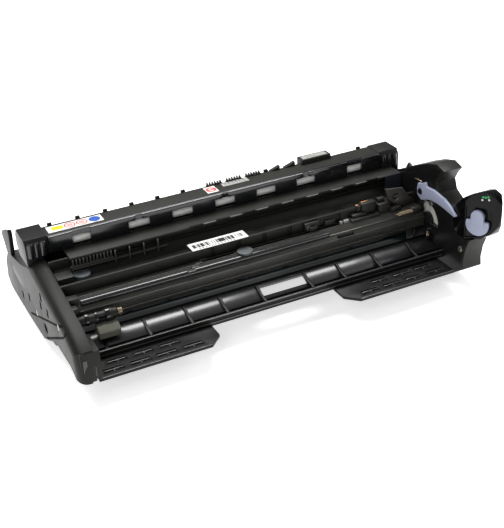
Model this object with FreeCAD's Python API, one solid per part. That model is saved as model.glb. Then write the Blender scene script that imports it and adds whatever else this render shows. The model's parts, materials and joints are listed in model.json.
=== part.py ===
import FreeCAD, Part
import math
import os

# Printer drum unit. Millimetres. X runs along the drum, Y to the rear, Z up.
# The origin is the middle of the base rectangle, on the surface the unit stands on.

V = FreeCAD.Vector
ALONG = V(1, 0, 0)
UP = V(0, 0, 1)

# Driving dimensions
BAY_LEFT_X = -143.0
BAY_RIGHT_X = 137.0
PLATE_T = 3.0
WALL = 2.0
RUN_GAP = 0.05
SEAT_GAP = 0.1
SOFT_GAP = 0.3

# Drum, its shaft and the gear train
DRUM_Y = -9.0
DRUM_Z = 22.0
DRUM_R = 15.0
DRUM_WALL = 0.9
DRUM_LEFT_X = -132.0
DRUM_RIGHT_X = 126.0
SHAFT_R = 3.0
FLANGE_HUB_R = 8.0
FLANGE_PLUG = 7.0
GEAR_MODULE = 1.25
DRUM_TEETH = 26
IDLER_TEETH = 21
LEFT_TEETH = 17
AUGER_TEETH = 19
GEAR_T = 5.0
LEFT_GEAR_T = 3.4
TOOTH_ADD = 0.9
TOOTH_DEPTH = 1.6
TOOTH_TIP_SHARE = 0.16
GEAR_BACKLASH = 0.25
IDLER_DIRECTION = 146.0
AUGER_DIRECTION = 127.0
IDLER_STUD_R = 3.0
IDLER_WINDOW_R = 15.4
IDLER_CORE_R = 5.6
IDLER_WINDOW_DROP = 1.0
BUSH_R = 10.5
FLANGE_RIM_T = 2.0
SOCKET_R = 4.0
SOCKET_DEPTH = 6.0

# Charge roller and cleaning parts
CHARGE_R = 4.5
CHARGE_SHAFT_R = 2.5
CHARGE_DIRECTION = 50.0
CHARGE_END_MARGIN = 8.0
BEARING_WALL = 1.6
LEDGE_L = 5.0
LEDGE_W = 8.0
LEDGE_T = 1.1
CHARGE_SPRING_L = 3.9
CHARGE_SPRING_R = 1.7
CHARGE_WIRE_R = 0.3
AUGER_JOURNAL_R = 1.2
AUGER_BLADE_R = 2.3
AUGER_BLADE_T = 1.2
AUGER_PITCH = 54.0
AUGER_GAP = 7.5
AUGER_BOSS_WALL = 1.8
AUGER_END_GAP = 4.0
COIL_SIDES = 6
LARGE_SIDES = 20
ROUND_SIDES = 12
SMALL_SIDES = 8
BLADE_T = 1.4
BRACKET_T = 1.2

# Rear guide bar with its windows and idler rollers
BAR_LEFT_X = -155.0
BAR_RIGHT_X = 144.0
BAR_CAP_L = 17.0
CAP_LEFT_REAR = 9.5
CAP_RIGHT_REAR = 5.0
BAR_FRONT_Y = 17.0
BAR_REAR_Y = 34.0
BAR_TOP_Z = 76.1
BAR_GLOSS_T = 1.6
BAR_LOW_Z = 57.0
WINDOW_X = (-114.7, -72.1, -38.7, -5.0, 28.6, 62.1, 104.5)
WINDOW_W = (13.0, 16.0, 16.0, 16.0, 16.0, 16.0, 13.0)
WINDOW_NOTCH_W = (13.4, 5.0, 0.0, 5.0, 0.0, 5.0, 13.4)
WINDOW_LOW_Z = 64.1
WINDOW_HIGH_Z = 72.0
ROLLER_R = 4.2
ROLLER_SHAFT_R = 2.0
ROLLER_OVERHANG = 1.5
NUB_X = (-132.0, -111.5, -91.0, -71.0, -51.0, -31.0, 37.0, 118.0)
TOOTH_GROUPS_X = (-12.0, 4.0, 20.0)
TEETH_PER_GROUP = 6
TOOTH_PITCH = 2.1
SAW_STEPS = ((40.0, 8.0, 3.0), (52.0, 9.0, 3.2))
TOP_BOX_X = 66.0
TOP_BOX_L = 25.0

# Shelf and toner bay
SHELF_Z = 63.6
SHELF_T = 1.8
SHELF_FRONT_Y = 2.0
SHELF_LEFT_X = -129.0
RIDGE_Z = 56.0
RIDGE_T = 1.2
RIDGE_REACH = 2.2
RIDGE_MARGIN = 20.0
RIB_X = (-97.1, -86.5, -76.1, -65.4)
RIB_T = 1.4
RIB_REACH = 3.2
RIB_LOW_Z = 55.5
COMB_PITCH = 21.0
COMB_NOTCH = 10.0
COMB_DEPTH = 1.6
COMB_START_X = -40.0
BAY_BACK_Y = 7.0
BAY_FLOOR_Z = 48.5
BAY_LIP_Y = -17.0
BAY_LIP_Z = 54.6
BAY_PANEL_LOW_Z = 46.6
PANEL_PITCH = 20.5
PANEL_GROOVE_W = 3.4
PANEL_GROOVE_T = 0.8

# Cleaner casing over the drum
CASING_TOP_Z = 46.4
CASING_FRONT_GAP = 7.0
CASING_FRONT_LOW = 10.5
CASING_COVER_RIGHT_X = -44.0
CASING_T = 2.2
CASING_GROOVE_END = 10.0
CASING_WEB = 1.3
LIGHT_GUIDE_R = 2.4
LIGHT_GUIDE_RIGHT_X = 56.0
BLADE_DIRECTION = 142.0
BLADE_TIP_SWEEP = 4.0

# Front guide beam, gussets and flaps
BEAM_FRONT_Y = -57.0
BEAM_TOP_Z = 23.0
BEAM_LOW_Z = 17.0
BEAM_DEPTH = 10.4
BEAM_FLOOR_T = 1.6
GUSSET_RISE = 1.5
GUSSET_START = 6.0
FLAP_POCKET_L = 14.0
FLAP_POCKET_W = 5.0
FLAP_POCKET_T = 0.8
FLAP_POCKET_PITCH = 18.5
GUSSET_X = (-126.0, -95.0, -65.0, -38.4, -9.3, 28.4, 55.0, 85.0, 116.0)
GUSSET_T = 1.8
FLAP_REACH = 22.5
FLAP_T = 2.2
FLAP_INNER_X = 48.0
FLAP_CHAMFER = 9.0
FLAP_MIDDLE_X = -5.0
GUIDE_TOP_Y = -35.0
GUIDE_TOP_Z = 25.2
GUIDE_R = 18.7
GUIDE_T = 1.5
GUIDE_TAIL = 3.0
SENSOR_SWEEP = 36.0
SENSOR_LEFT_X = -8.2
SENSOR_RIGHT_X = 27.3

# Waste pipe and foam at the left front
PIPE_Y = -39.0
PIPE_Z = 38.2
PIPE_R = 3.5
PIPE_RIGHT_X = -113.0
PIPE_TIP_L = 5.4
PIPE_COLLAR = 0.6
FOAM_LEFT_X = -129.0
FOAM_L = 15.0
FOAM_W = 10.0
FOAM_FRONT_Y = -49.0

# End covers
LEFT_COVER_T = 9.0
RIGHT_COVER_T = 13.0
COVER_WALL = 2.2
COVER_POCKET_WALL = 5.2
GEAR_ROOM = 0.5
BULGE_WALL = 1.2
TAB_T = 3.0
NOSE_RIGHT_X = 155.0
NOSE_FACE_Y = -80.0
NOSE_FACE_TURN = 32.0
NOSE_FACE_L = 22.0
NOSE_FRONT_Y = -103.0
NOSE_TOP_Z = 81.5
NOSE_ROUND = 6.0
RECESS_T = 1.7
RECESS_RIM = 1.8
RECESS_TOP_Z = 69.5
RECESS_START = 0.9
RECESS_END = 20.6
LEFT_RIM_ROUND = 7.0
LEFT_RIM_FROM_Z = 30.0
LEFT_RIM_FRONT_Y = -82.0
LEFT_RIM_REAR_Y = 15.6
LEFT_RIM_LOW_Z = 15.0
LEFT_COVER_L = 186.0
CONTACT_SPOTS = ((-8.0, 46.2), (-4.4, 38.0), (-22.2, 41.0), (31.4, 26.0), (53.2, 17.0))

# Rear housing
HOUSING_BACK_WALL = 2.4
REAR_HOUSING_FRONT_Y = 11.0
REAR_RIB_PITCH = 70.0

# Lock lever, link arm and small parts
LEVER_T = 2.2
LEVER_R = 8.6
LEVER_ALONG = 9.8
LEVER_Z = 56.0
LEVER_TAB_W = 9.6
LEVER_TAB_TOP = 11.2
LEVER_GRIP_T = 0.9
LEVER_PIN_R = 2.4
LEVER_PIN_L = 3.5
LINK_T = 2.2
LINK_PIVOT_Y = -28.0
LINK_PIVOT_Z = 60.0
LINK_PIVOT_R = 2.2
LINK_PIN_L = 3.2
LINK_OUTLINE = ((-29.0, 53.6), (-24.5, 56.0), (-23.6, 61.7), (-25.0, 66.0), (-30.0, 67.0), (-33.5, 69.5),
                (-36.0, 66.5), (-44.0, 67.2), (-52.2, 66.3), (-58.0, 65.4), (-64.7, 62.9), (-72.7, 57.6),
                (-71.0, 56.4), (-56.4, 58.3), (-48.0, 58.6), (-41.3, 57.9), (-36.0, 56.4), (-33.0, 54.6))
PULL_SPRING_Z = 45.4
PULL_SPRING_LEFT_X = 114.0
PULL_SPRING_RIGHT_X = 135.4
PULL_SPRING_R = 1.2
PULL_WIRE_R = 0.4
PULL_HOOK_L = 2.4
PULL_COILS = 7
POST_T = 1.6
CONTACT_SPRING_X = 135.2
CONTACT_SPRING_Y = -39.4
CONTACT_SPRING_LOW_Z = 27.0
CONTACT_SPRING_TOP_Z = 32.0
CONTACT_SPRING_R = 1.2
SPRING_SEAT = 1.4
CONTACT_WIRE_R = 0.25
CONTACT_COILS = 4
RETURN_WIRE_R = 0.45
RETURN_WIRE_Y = -18.3
RETURN_WIRE_Z = 66.6
RETURN_WIRE_L = 8.6
RETURN_WIRE_RISE = 0.06
SCREW_R = 1.2
SCREW_L = 4.0
SCREW_HEAD_R = 2.2
SCREW_HEAD_T = 1.2
RIGHT_SCREWS = ((-39.6, 54.4), (-77.5, 33.0))
LEFT_SCREWS = ((-48.0, 44.0), (13.9, 22.1))
PAD_R = 5.9
PAD_LEFT = (-122.7, -0.9, 52.0)
PAD_MIDDLE = (-9.5, -22.9, 48.0)
BRIDGE_L = 14.0
FLAG_OUTLINE = ((110.0, 63.8), (125.7, 61.5), (130.3, 53.7), (136.6, 49.0), (136.6, 46.7), (123.0, 46.7),
                (113.0, 54.6))
FLAG_T = 1.6
FLAG_HOLE = (119.5, 55.5)
FLAG_HOLE_R = 3.0
FILM_LEFT_X = 122.6
FILM_LOW_Z = 52.0
FILM_T = 0.4
SHOE_OUTLINE = ((41.9, 33.2), (70.3, 32.7), (77.9, 29.9), (72.0, 26.0), (58.5, 24.1), (44.0, 26.0))


# Small helpers

def block(x0, x1, y0, y1, z0, z1):
    return Part.makeBox(x1 - x0, y1 - y0, z1 - z0, V(x0, y0, z0))


def rod(x0, x1, y, z, r):
    return Part.makeCylinder(r, x1 - x0, V(x0, y, z), ALONG)


def bar(x0, x1, y, z, r, sides=ROUND_SIDES):
    """A round bar of few sides, its corners on the radius."""
    return slab([polar(y, z, r, 360 * i / sides) for i in range(sides)], x0, x1)


def post(start, direction, length, r, sides=ROUND_SIDES):
    """A round bar of few sides that begins at start and runs along a direction."""
    body = bar(0, length, 0, 0, r, sides)
    body.Placement = FreeCAD.Placement(start, FreeCAD.Rotation(ALONG, direction))
    return body


def hole(x0, x1, y, z, r, sides=ROUND_SIDES):
    """The room for a round bar, its flats on the radius."""
    return bar(x0, x1, y, z, r / math.cos(math.pi / sides), sides)


def slab(points, x0, x1):
    """A flat outline of (y, z) points, drawn out along X from x0 to x1."""
    corners = [V(x0, y, z) for y, z in points]
    face = Part.Face(Part.makePolygon(corners + corners[:1]))
    return face.extrude(V(x1 - x0, 0, 0))


def wire_slab(edges, x0, x1):
    face = Part.Face(Part.Wire(edges))
    return face.extrude(V(x1 - x0, 0, 0))


def arc(x, start, middle, end):
    return Part.Arc(V(x, *start), V(x, *middle), V(x, *end)).toShape()


def line(x, start, end):
    return Part.makeLine(V(x, *start), V(x, *end))


def polar(y, z, r, degrees):
    a = math.radians(degrees)
    return (y + r * math.cos(a), z + r * math.sin(a))


def fuse(shapes):
    whole = shapes[0]
    for shape in shapes[1:]:
        whole = whole.fuse(shape)
    return whole.removeSplitter()


def cut(shape, tools):
    for tool in tools:
        shape = shape.cut(tool)
    return shape


def inset(points, distance, x0, x1):
    """The same outline moved inwards by a distance, drawn out along X."""
    corners = [V(x0, y, z) for y, z in points]
    wire = Part.makePolygon(corners + corners[:1])
    return Part.Face(wire.makeOffset2D(-distance, 2)).extrude(V(x1 - x0, 0, 0))


def along_x_edges(shape, test):
    """Edges that run along X and whose middle passes the test."""
    chosen = []
    for edge in shape.Edges:
        a = edge.Vertexes[0].Point
        b = edge.Vertexes[-1].Point
        straight = abs(a.y - b.y) < 0.01 and abs(a.z - b.z) < 0.01
        if straight and abs(a.x - b.x) > 1 and test(a.y, a.z):
            chosen.append(edge)
    return chosen


def banded(sections):
    """A solid through a row of four-cornered sections, closed with flat triangles."""
    faces = []
    for first, second in zip(sections, sections[1:]):
        for i in range(4):
            j = (i + 1) % 4
            for corners in ((first[i], first[j], second[j]), (first[i], second[j], second[i])):
                faces.append(Part.Face(Part.makePolygon(list(corners) + [corners[0]])))
    for end in (sections[0], sections[-1]):
        faces.append(Part.Face(Part.makePolygon(end + [end[0]])))
    solid = Part.Solid(Part.Shell(faces))
    if solid.Volume < 0:
        solid.reverse()
    return solid


def spiral(length, inner_r, outer_r, half, turns):
    """A flat-sided spiral band about the Z axis."""
    count = int(turns * COIL_SIDES)
    sections = []
    for i in range(count + 1):
        a = 2 * math.pi * i / COIL_SIDES
        z = length * i / count
        inner = (inner_r * math.cos(a), inner_r * math.sin(a))
        outer = (outer_r * math.cos(a), outer_r * math.sin(a))
        sections.append([V(*inner, z - half), V(*outer, z - half), V(*outer, z + half), V(*inner, z + half)])
    return banded(sections)


def spring(start, direction, length, coil_r, wire_r, turns):
    """An open coil spring that begins at start and runs along a direction."""
    body = spiral(length, coil_r - wire_r, coil_r + wire_r, wire_r, turns)
    body.Placement = FreeCAD.Placement(start, FreeCAD.Rotation(V(0, 0, 1), direction))
    return body


def gear(x0, thickness, y, z, teeth, module, start_degrees):
    """A spur gear with straight-flanked teeth, its first tooth at start_degrees."""
    pitch_r = teeth * module / 2
    tip_r = pitch_r + TOOTH_ADD * module
    root_r = pitch_r - TOOTH_DEPTH * module
    step = 360 / teeth
    half_tip = (TOOTH_TIP_SHARE * step - math.degrees(GEAR_BACKLASH / pitch_r)) / 2
    points = []
    for i in range(teeth):
        middle = start_degrees + i * step
        points.append(polar(y, z, root_r, middle - step / 2))
        points.append(polar(y, z, tip_r, middle - half_tip))
        points.append(polar(y, z, tip_r, middle + half_tip))
    return slab(points, x0, x0 + thickness)


# Places worked out from the driving dimensions

LEFT_PLATE_X = BAY_LEFT_X - PLATE_T
RIGHT_PLATE_X = BAY_RIGHT_X + PLATE_T
LEFT_COVER_X = LEFT_PLATE_X - LEFT_COVER_T
RIGHT_COVER_X = RIGHT_PLATE_X + RIGHT_COVER_T
GEAR_LEFT_X = LEFT_PLATE_X - SOFT_GAP - LEFT_GEAR_T
GEAR_ROOM_X = GEAR_LEFT_X - SOFT_GAP
GEAR_RIGHT_X = RIGHT_PLATE_X + SOFT_GAP
AUGER_DISTANCE = DRUM_R + AUGER_GAP
LEFT_MODULE = 2 * AUGER_DISTANCE / (LEFT_TEETH + AUGER_TEETH)
LEFT_TIP_R = (LEFT_TEETH / 2 + TOOTH_ADD) * LEFT_MODULE
AUGER_TIP_R = (AUGER_TEETH / 2 + TOOTH_ADD) * LEFT_MODULE
IDLER_DISTANCE = (DRUM_TEETH + IDLER_TEETH) * GEAR_MODULE / 2
IDLER_Y, IDLER_Z = polar(DRUM_Y, DRUM_Z, IDLER_DISTANCE, IDLER_DIRECTION)
AUGER_Y, AUGER_Z = polar(DRUM_Y, DRUM_Z, AUGER_DISTANCE, AUGER_DIRECTION)
IDLER_WINDOW_REAR_Y = AUGER_Y - AUGER_JOURNAL_R - AUGER_BOSS_WALL
CHARGE_Y, CHARGE_Z = polar(DRUM_Y, DRUM_Z, DRUM_R + CHARGE_R + SOFT_GAP, CHARGE_DIRECTION)
LEDGE_Z = CHARGE_Z + CHARGE_SHAFT_R + BEARING_WALL + CHARGE_SPRING_L
CASING_FRONT_Y = DRUM_Y - DRUM_R - CASING_FRONT_GAP
CASING_FRONT_LOW_Z = DRUM_Z + CASING_FRONT_LOW
PULL_SPRING_Y = CASING_FRONT_Y + 3.6
ROLLER_Y = BAR_FRONT_Y + BAR_GLOSS_T + SOFT_GAP + ROLLER_R
ROLLER_Z = (WINDOW_LOW_Z + WINDOW_HIGH_Z) / 2
CAP_LEFT_X = BAR_LEFT_X + BAR_CAP_L
CAP_RIGHT_X = BAR_RIGHT_X - BAR_CAP_L
SHELF_LOW_Z = SHELF_Z - SHELF_T
GUIDE_Y = GUIDE_TOP_Y
GUIDE_Z = GUIDE_TOP_Z - GUIDE_R
GUIDE_REST_Z = BEAM_LOW_Z + BEAM_FLOOR_T + SEAT_GAP
GUIDE_SWEEP = math.degrees(math.acos((GUIDE_REST_Z - GUIDE_Z) / (GUIDE_R - GUIDE_T)))
LIGHT_GUIDE_Y = CASING_FRONT_Y + 4.8
LIGHT_GUIDE_Z = CASING_TOP_Z - 2.2

LEFT_OUTLINE = [(-83.0, 19.0), (-66.0, 25.0), (-42.0, 24.5), (-33.0, 24.5), (-15.0, 15.5), (2.8, 7.4),
                (43.0, 4.7), (96.0, 3.7), (103.0, 9.0), (98.0, 25.0), (86.0, 37.5), (60.0, 43.0),
                (40.0, 48.0), (16.0, 56.6), (15.8, 60.8), (-60.0, 49.6), (-81.0, 42.0)]
TAB_OUTLINE = [(86.5, 35.0), (97.0, 48.6), (94.0, 52.0), (71.0, 61.8), (70.0, 58.0), (74.0, 38.0)]
LEFT_FOOT_OUTLINE = [(-58.0, 29.4), (-42.0, 29.4), (-28.0, 12.0), (-14.0, 6.0), (2.0, 4.0), (12.0, 1.0),
                     (55.0, 0.0), (85.0, 1.0), (93.0, 4.0), (100.0, 13.0), (95.0, 25.0), (84.0, 36.0),
                     (60.0, 46.0), (42.0, 56.9),
                     (16.0, 56.9), (15.6, 58.4), (-58.0, 47.4)]
RIGHT_OUTLINE = [(-81.7, 17.6), (-62.0, 4.0), (-51.0, 0.0), (-9.0, 0.0), (40.0, 4.0), (47.0, 30.0),
                 (38.0, 50.0), (16.0, 56.6), (15.8, 59.4), (-20.5, 78.4), (-33.0, 84.0),
                 (-45.0, 87.5), (-54.0, 85.0), (-49.0, 79.0), (-46.0, 73.6), (-49.0, 66.0),
                 (-57.0, 61.6), (-64.0, 61.0), (-76.0, 60.0), (-88.0, 46.0), (-83.0, 34.0), (-81.0, 24.0)]
RIGHT_FOOT_OUTLINE = [(-2.0, 2.4), (12.0, 1.0), (55.0, 0.0), (85.0, 1.0), (93.0, 4.0), (100.0, 13.0),
                      (97.0, 26.0), (82.0, 37.0), (60.0, 47.0), (42.0, 56.9), (16.0, 56.9), (-2.0, 56.9)]
SPIKE_OUTLINE = [(-7.0, 68.0), (-7.0, 71.0), (-2.9, 73.0), (1.0, 66.0)]
NOSE_OUTLINE = [(-66.0, 48.0), (-66.0, 61.0), (-70.0, 66.0), (-78.0, 74.5), (-84.6, 79.5),
                (-90.6, NOSE_TOP_Z), (-98.0, 80.0), (-102.0, 75.5), (NOSE_FRONT_Y, 68.0),
                (-101.5, 58.0), (-97.0, 50.5), (-90.6, 45.0), (-82.0, 42.5), (-72.0, 43.5)]
REAR_OUTLINE = [(REAR_HOUSING_FRONT_Y, 0.0), (88.0, 0.0), (95.0, 5.0), (99.0, 13.0), (95.0, 24.0),
                (80.0, 34.0), (58.0, 40.0), (40.0, 44.0), (REAR_HOUSING_FRONT_Y, 44.0)]
REAR_RIB_OUTLINE = [(20.0, 1.0), (84.0, 1.0), (84.0, 30.0), (58.0, 39.0), (20.0, 43.0)]

FACE_COS = math.cos(math.radians(NOSE_FACE_TURN))
FACE_SIN = math.sin(math.radians(NOSE_FACE_TURN))
FACE_ALONG = V(FACE_SIN, -FACE_COS, 0)
FACE_NORMAL = V(-FACE_COS, -FACE_SIN, 0)
FACE_END_X = BAY_RIGHT_X + NOSE_FACE_L * FACE_SIN
FACE_END_Y = NOSE_FACE_Y - NOSE_FACE_L * FACE_COS
CENTRE_SHIFT = V(-(LEFT_COVER_X + NOSE_RIGHT_X) / 2, 0, 0)


# The long moulding: shelf, bay and rear wall

def bay_trough():
    x0, x1 = BAY_LEFT_X, BAY_RIGHT_X
    back = BAY_BACK_Y
    floor = (BAY_LIP_Y + back) / 2
    top_edge = SHELF_LOW_Z
    outer = [
        line(x0, (back, top_edge), (back, BAY_LIP_Z)),
        arc(x0, (back, BAY_LIP_Z), (floor, BAY_FLOOR_Z), (BAY_LIP_Y + WALL, BAY_LIP_Z)),
        line(x0, (BAY_LIP_Y + WALL, BAY_LIP_Z), (BAY_LIP_Y, BAY_LIP_Z)),
        line(x0, (BAY_LIP_Y, BAY_LIP_Z), (BAY_LIP_Y, BAY_PANEL_LOW_Z)),
        line(x0, (BAY_LIP_Y, BAY_PANEL_LOW_Z), (BAY_LIP_Y + WALL, BAY_PANEL_LOW_Z)),
        arc(x0, (BAY_LIP_Y + WALL, BAY_PANEL_LOW_Z + 2), (floor, BAY_FLOOR_Z - WALL),
            (back + WALL, BAY_LIP_Z - 1)),
        line(x0, (BAY_LIP_Y + WALL, BAY_PANEL_LOW_Z), (BAY_LIP_Y + WALL, BAY_PANEL_LOW_Z + 2)),
        line(x0, (back + WALL, BAY_LIP_Z - 1), (back + WALL, top_edge)),
        line(x0, (back + WALL, top_edge), (back, top_edge)),
    ]
    return wire_slab(Part.__sortEdges__(outer), x0, x1)


def comb_notches():
    notches = []
    x = COMB_START_X
    while x + COMB_NOTCH < BAY_RIGHT_X:
        notches.append(block(x, x + COMB_NOTCH, SHELF_FRONT_Y - 1, SHELF_FRONT_Y + COMB_DEPTH,
                             SHELF_LOW_Z - 1, SHELF_Z + 1))
        x += COMB_PITCH
    return notches


def panel_grooves():
    grooves = []
    x = CASING_COVER_RIGHT_X + PANEL_PITCH / 2
    while x + PANEL_GROOVE_W < BAY_RIGHT_X - PANEL_PITCH:
        grooves.append(block(x, x + PANEL_GROOVE_W, BAY_LIP_Y - 1, BAY_LIP_Y + PANEL_GROOVE_T,
                             BAY_PANEL_LOW_Z - 1, BAY_LIP_Z - 1))
        x += PANEL_PITCH
    return grooves


def main_frame():
    shelf = block(SHELF_LEFT_X, BAY_RIGHT_X, SHELF_FRONT_Y, BAR_REAR_Y, SHELF_LOW_Z, SHELF_Z)
    rear_wall = block(BAY_LEFT_X, BAY_RIGHT_X, BAR_REAR_Y - WALL, BAR_REAR_Y,
                      REAR_OUTLINE[-1][1] + SEAT_GAP, SHELF_LOW_Z)
    ridge = block(BAY_LEFT_X + RIDGE_MARGIN, BAY_RIGHT_X, BAY_BACK_Y - RIDGE_REACH, BAY_BACK_Y,
                  RIDGE_Z, RIDGE_Z + RIDGE_T)
    ribs = []
    for x in RIB_X:
        ribs.append(block(x, x + RIB_T, BAY_BACK_Y - RIB_REACH, BAY_BACK_Y + WALL / 2,
                          RIB_LOW_Z, SHELF_LOW_Z + WALL / 4))
    whole = fuse([bay_trough(), shelf, rear_wall, ridge] + ribs)
    return cut(whole, comb_notches() + panel_grooves())


# Front beam with its gussets and paper flaps

def beam_section():
    x0, x1 = BAY_LEFT_X, BAY_RIGHT_X
    front = BEAM_FRONT_Y
    lip = block(x0, x1, front, front + WALL, BEAM_LOW_Z, BEAM_TOP_Z)
    floor = block(x0, x1, front, front + BEAM_DEPTH, BEAM_LOW_Z, BEAM_LOW_Z + BEAM_FLOOR_T)
    return lip.fuse(floor)


def gusset(x):
    """A rib that stands in the channel and follows the guide plate's crown."""
    x0 = x - GUSSET_T / 2
    inner = GUIDE_R + SEAT_GAP
    outer = inner + GUSSET_RISE
    low = 90 + GUIDE_SWEEP
    high = 90 + GUSSET_START
    a = polar(GUIDE_Y, GUIDE_Z, inner, high)
    b = polar(GUIDE_Y, GUIDE_Z, outer, high)
    c = polar(GUIDE_Y, GUIDE_Z, outer, low - 12)
    d = polar(GUIDE_Y, GUIDE_Z, inner, low)
    foot_z = BEAM_LOW_Z + BEAM_FLOOR_T / 2
    foot_y = BEAM_FRONT_Y + WALL / 2
    bend = polar(GUIDE_Y, GUIDE_Z, outer + 0.3, (high + low - 12) / 2)
    edges = [
        line(x0, a, b),
        line(x0, b, bend),
        line(x0, bend, c),
        line(x0, c, (foot_y, BEAM_TOP_Z - 1)),
        line(x0, (foot_y, BEAM_TOP_Z - 1), (foot_y, foot_z)),
        line(x0, (foot_y, foot_z), (d[0], foot_z)),
        line(x0, (d[0], foot_z), d),
        arc(x0, d, polar(GUIDE_Y, GUIDE_Z, inner, (high + low) / 2), a),
    ]
    return wire_slab(edges, x0, x0 + GUSSET_T)


def flap(outer_x, inner_x):
    """A paper flap: a plate with a slanted inner corner, pockets and low ribs."""
    side = 1 if inner_x > outer_x else -1
    root_y = BEAM_FRONT_Y + WALL / 2
    tip_y = BEAM_FRONT_Y - FLAP_REACH
    top = BEAM_LOW_Z + FLAP_T / 2
    corners = [V(outer_x, root_y, top), V(inner_x, root_y, top),
               V(inner_x, tip_y + FLAP_CHAMFER, top), V(inner_x - side * FLAP_CHAMFER, tip_y, top),
               V(outer_x, tip_y, top)]
    plate = Part.Face(Part.makePolygon(corners + corners[:1])).extrude(V(0, 0, -FLAP_T))
    pockets = []
    for row, start in ((0, 5.0), (1, 10.0)):
        y = tip_y + 4.0 + row * 9.0
        length = abs(inner_x - outer_x) - FLAP_CHAMFER - start
        count = int(length // FLAP_POCKET_PITCH)
        for i in range(count):
            x = outer_x + side * (start + i * FLAP_POCKET_PITCH)
            x_end = x + side * FLAP_POCKET_L
            pockets.append(block(min(x, x_end), max(x, x_end), y, y + FLAP_POCKET_W,
                                 top - FLAP_POCKET_T, top + 1))
    return cut(plate, pockets)


def front_guide_beam():
    left = flap(BAY_LEFT_X + 2, FLAP_MIDDLE_X - FLAP_INNER_X)
    right = flap(BAY_RIGHT_X - 6, FLAP_MIDDLE_X + FLAP_INNER_X)
    return fuse([beam_section(), left, right] + [gusset(x) for x in GUSSET_X])


def lower_guide_plate():
    """The glossy arched plate behind the gussets, with the opening for a sensor."""
    x0, x1 = BAY_LEFT_X + SEAT_GAP, BAY_RIGHT_X - SEAT_GAP
    inner = GUIDE_R - GUIDE_T
    low = 90 + GUIDE_SWEEP
    a = (GUIDE_Y + GUIDE_TAIL, GUIDE_TOP_Z)
    b = (GUIDE_Y, GUIDE_TOP_Z)
    c = polar(GUIDE_Y, GUIDE_Z, GUIDE_R, low)
    d = polar(GUIDE_Y, GUIDE_Z, inner, low)
    e = (GUIDE_Y, GUIDE_TOP_Z - GUIDE_T)
    f = (GUIDE_Y + GUIDE_TAIL, GUIDE_TOP_Z - GUIDE_T)
    middle = 90 + GUIDE_SWEEP / 2
    edges = [line(x0, a, b), arc(x0, b, polar(GUIDE_Y, GUIDE_Z, GUIDE_R, middle), c),
             line(x0, c, d), arc(x0, d, polar(GUIDE_Y, GUIDE_Z, inner, middle), e),
             line(x0, e, f), line(x0, f, a)]
    plate = wire_slab(edges, x0, x1)
    opening = block(SENSOR_LEFT_X, SENSOR_RIGHT_X, GUIDE_Y - GUIDE_R * math.sin(math.radians(SENSOR_SWEEP)),
                    GUIDE_Y - GUIDE_T, GUIDE_Z, GUIDE_TOP_Z + 1)
    return plate.cut(opening)


# End plates and bushes

def left_end_plate():
    plate = slab(LEFT_FOOT_OUTLINE, LEFT_PLATE_X, BAY_LEFT_X)
    holes = [bar(LEFT_PLATE_X - 1, BAY_LEFT_X + 1, DRUM_Y, DRUM_Z, BUSH_R, LARGE_SIDES),
             hole(LEFT_PLATE_X - 1, BAY_LEFT_X + 1, AUGER_Y, AUGER_Z, AUGER_JOURNAL_R + RUN_GAP),
             bar(LEFT_PLATE_X - 1, BAY_LEFT_X + 1, PIPE_Y, PIPE_Z, PIPE_R)]
    return cut(plate, holes).fuse(spring_ledge(BAY_LEFT_X, BAY_LEFT_X + LEDGE_L))


def spring_ledge(x0, x1):
    return block(x0, x1, CHARGE_Y - LEDGE_W / 2, CHARGE_Y + LEDGE_W / 2,
                 LEDGE_Z, LEDGE_Z + LEDGE_T)


def idler_window():
    """The crescent in the right plate through which the white gear shows."""
    x0, x1 = BAY_RIGHT_X - 1, RIGHT_PLATE_X + 1
    ring = rod(x0, x1, IDLER_Y, IDLER_Z, IDLER_WINDOW_R)
    core = rod(x0, x1, IDLER_Y, IDLER_Z, IDLER_CORE_R)
    upper = block(x0, x1, IDLER_Y - 2 * IDLER_WINDOW_R, IDLER_WINDOW_REAR_Y,
                  IDLER_Z - IDLER_WINDOW_DROP, IDLER_Z + 2 * IDLER_WINDOW_R)
    return ring.cut(core).common(upper)


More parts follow.
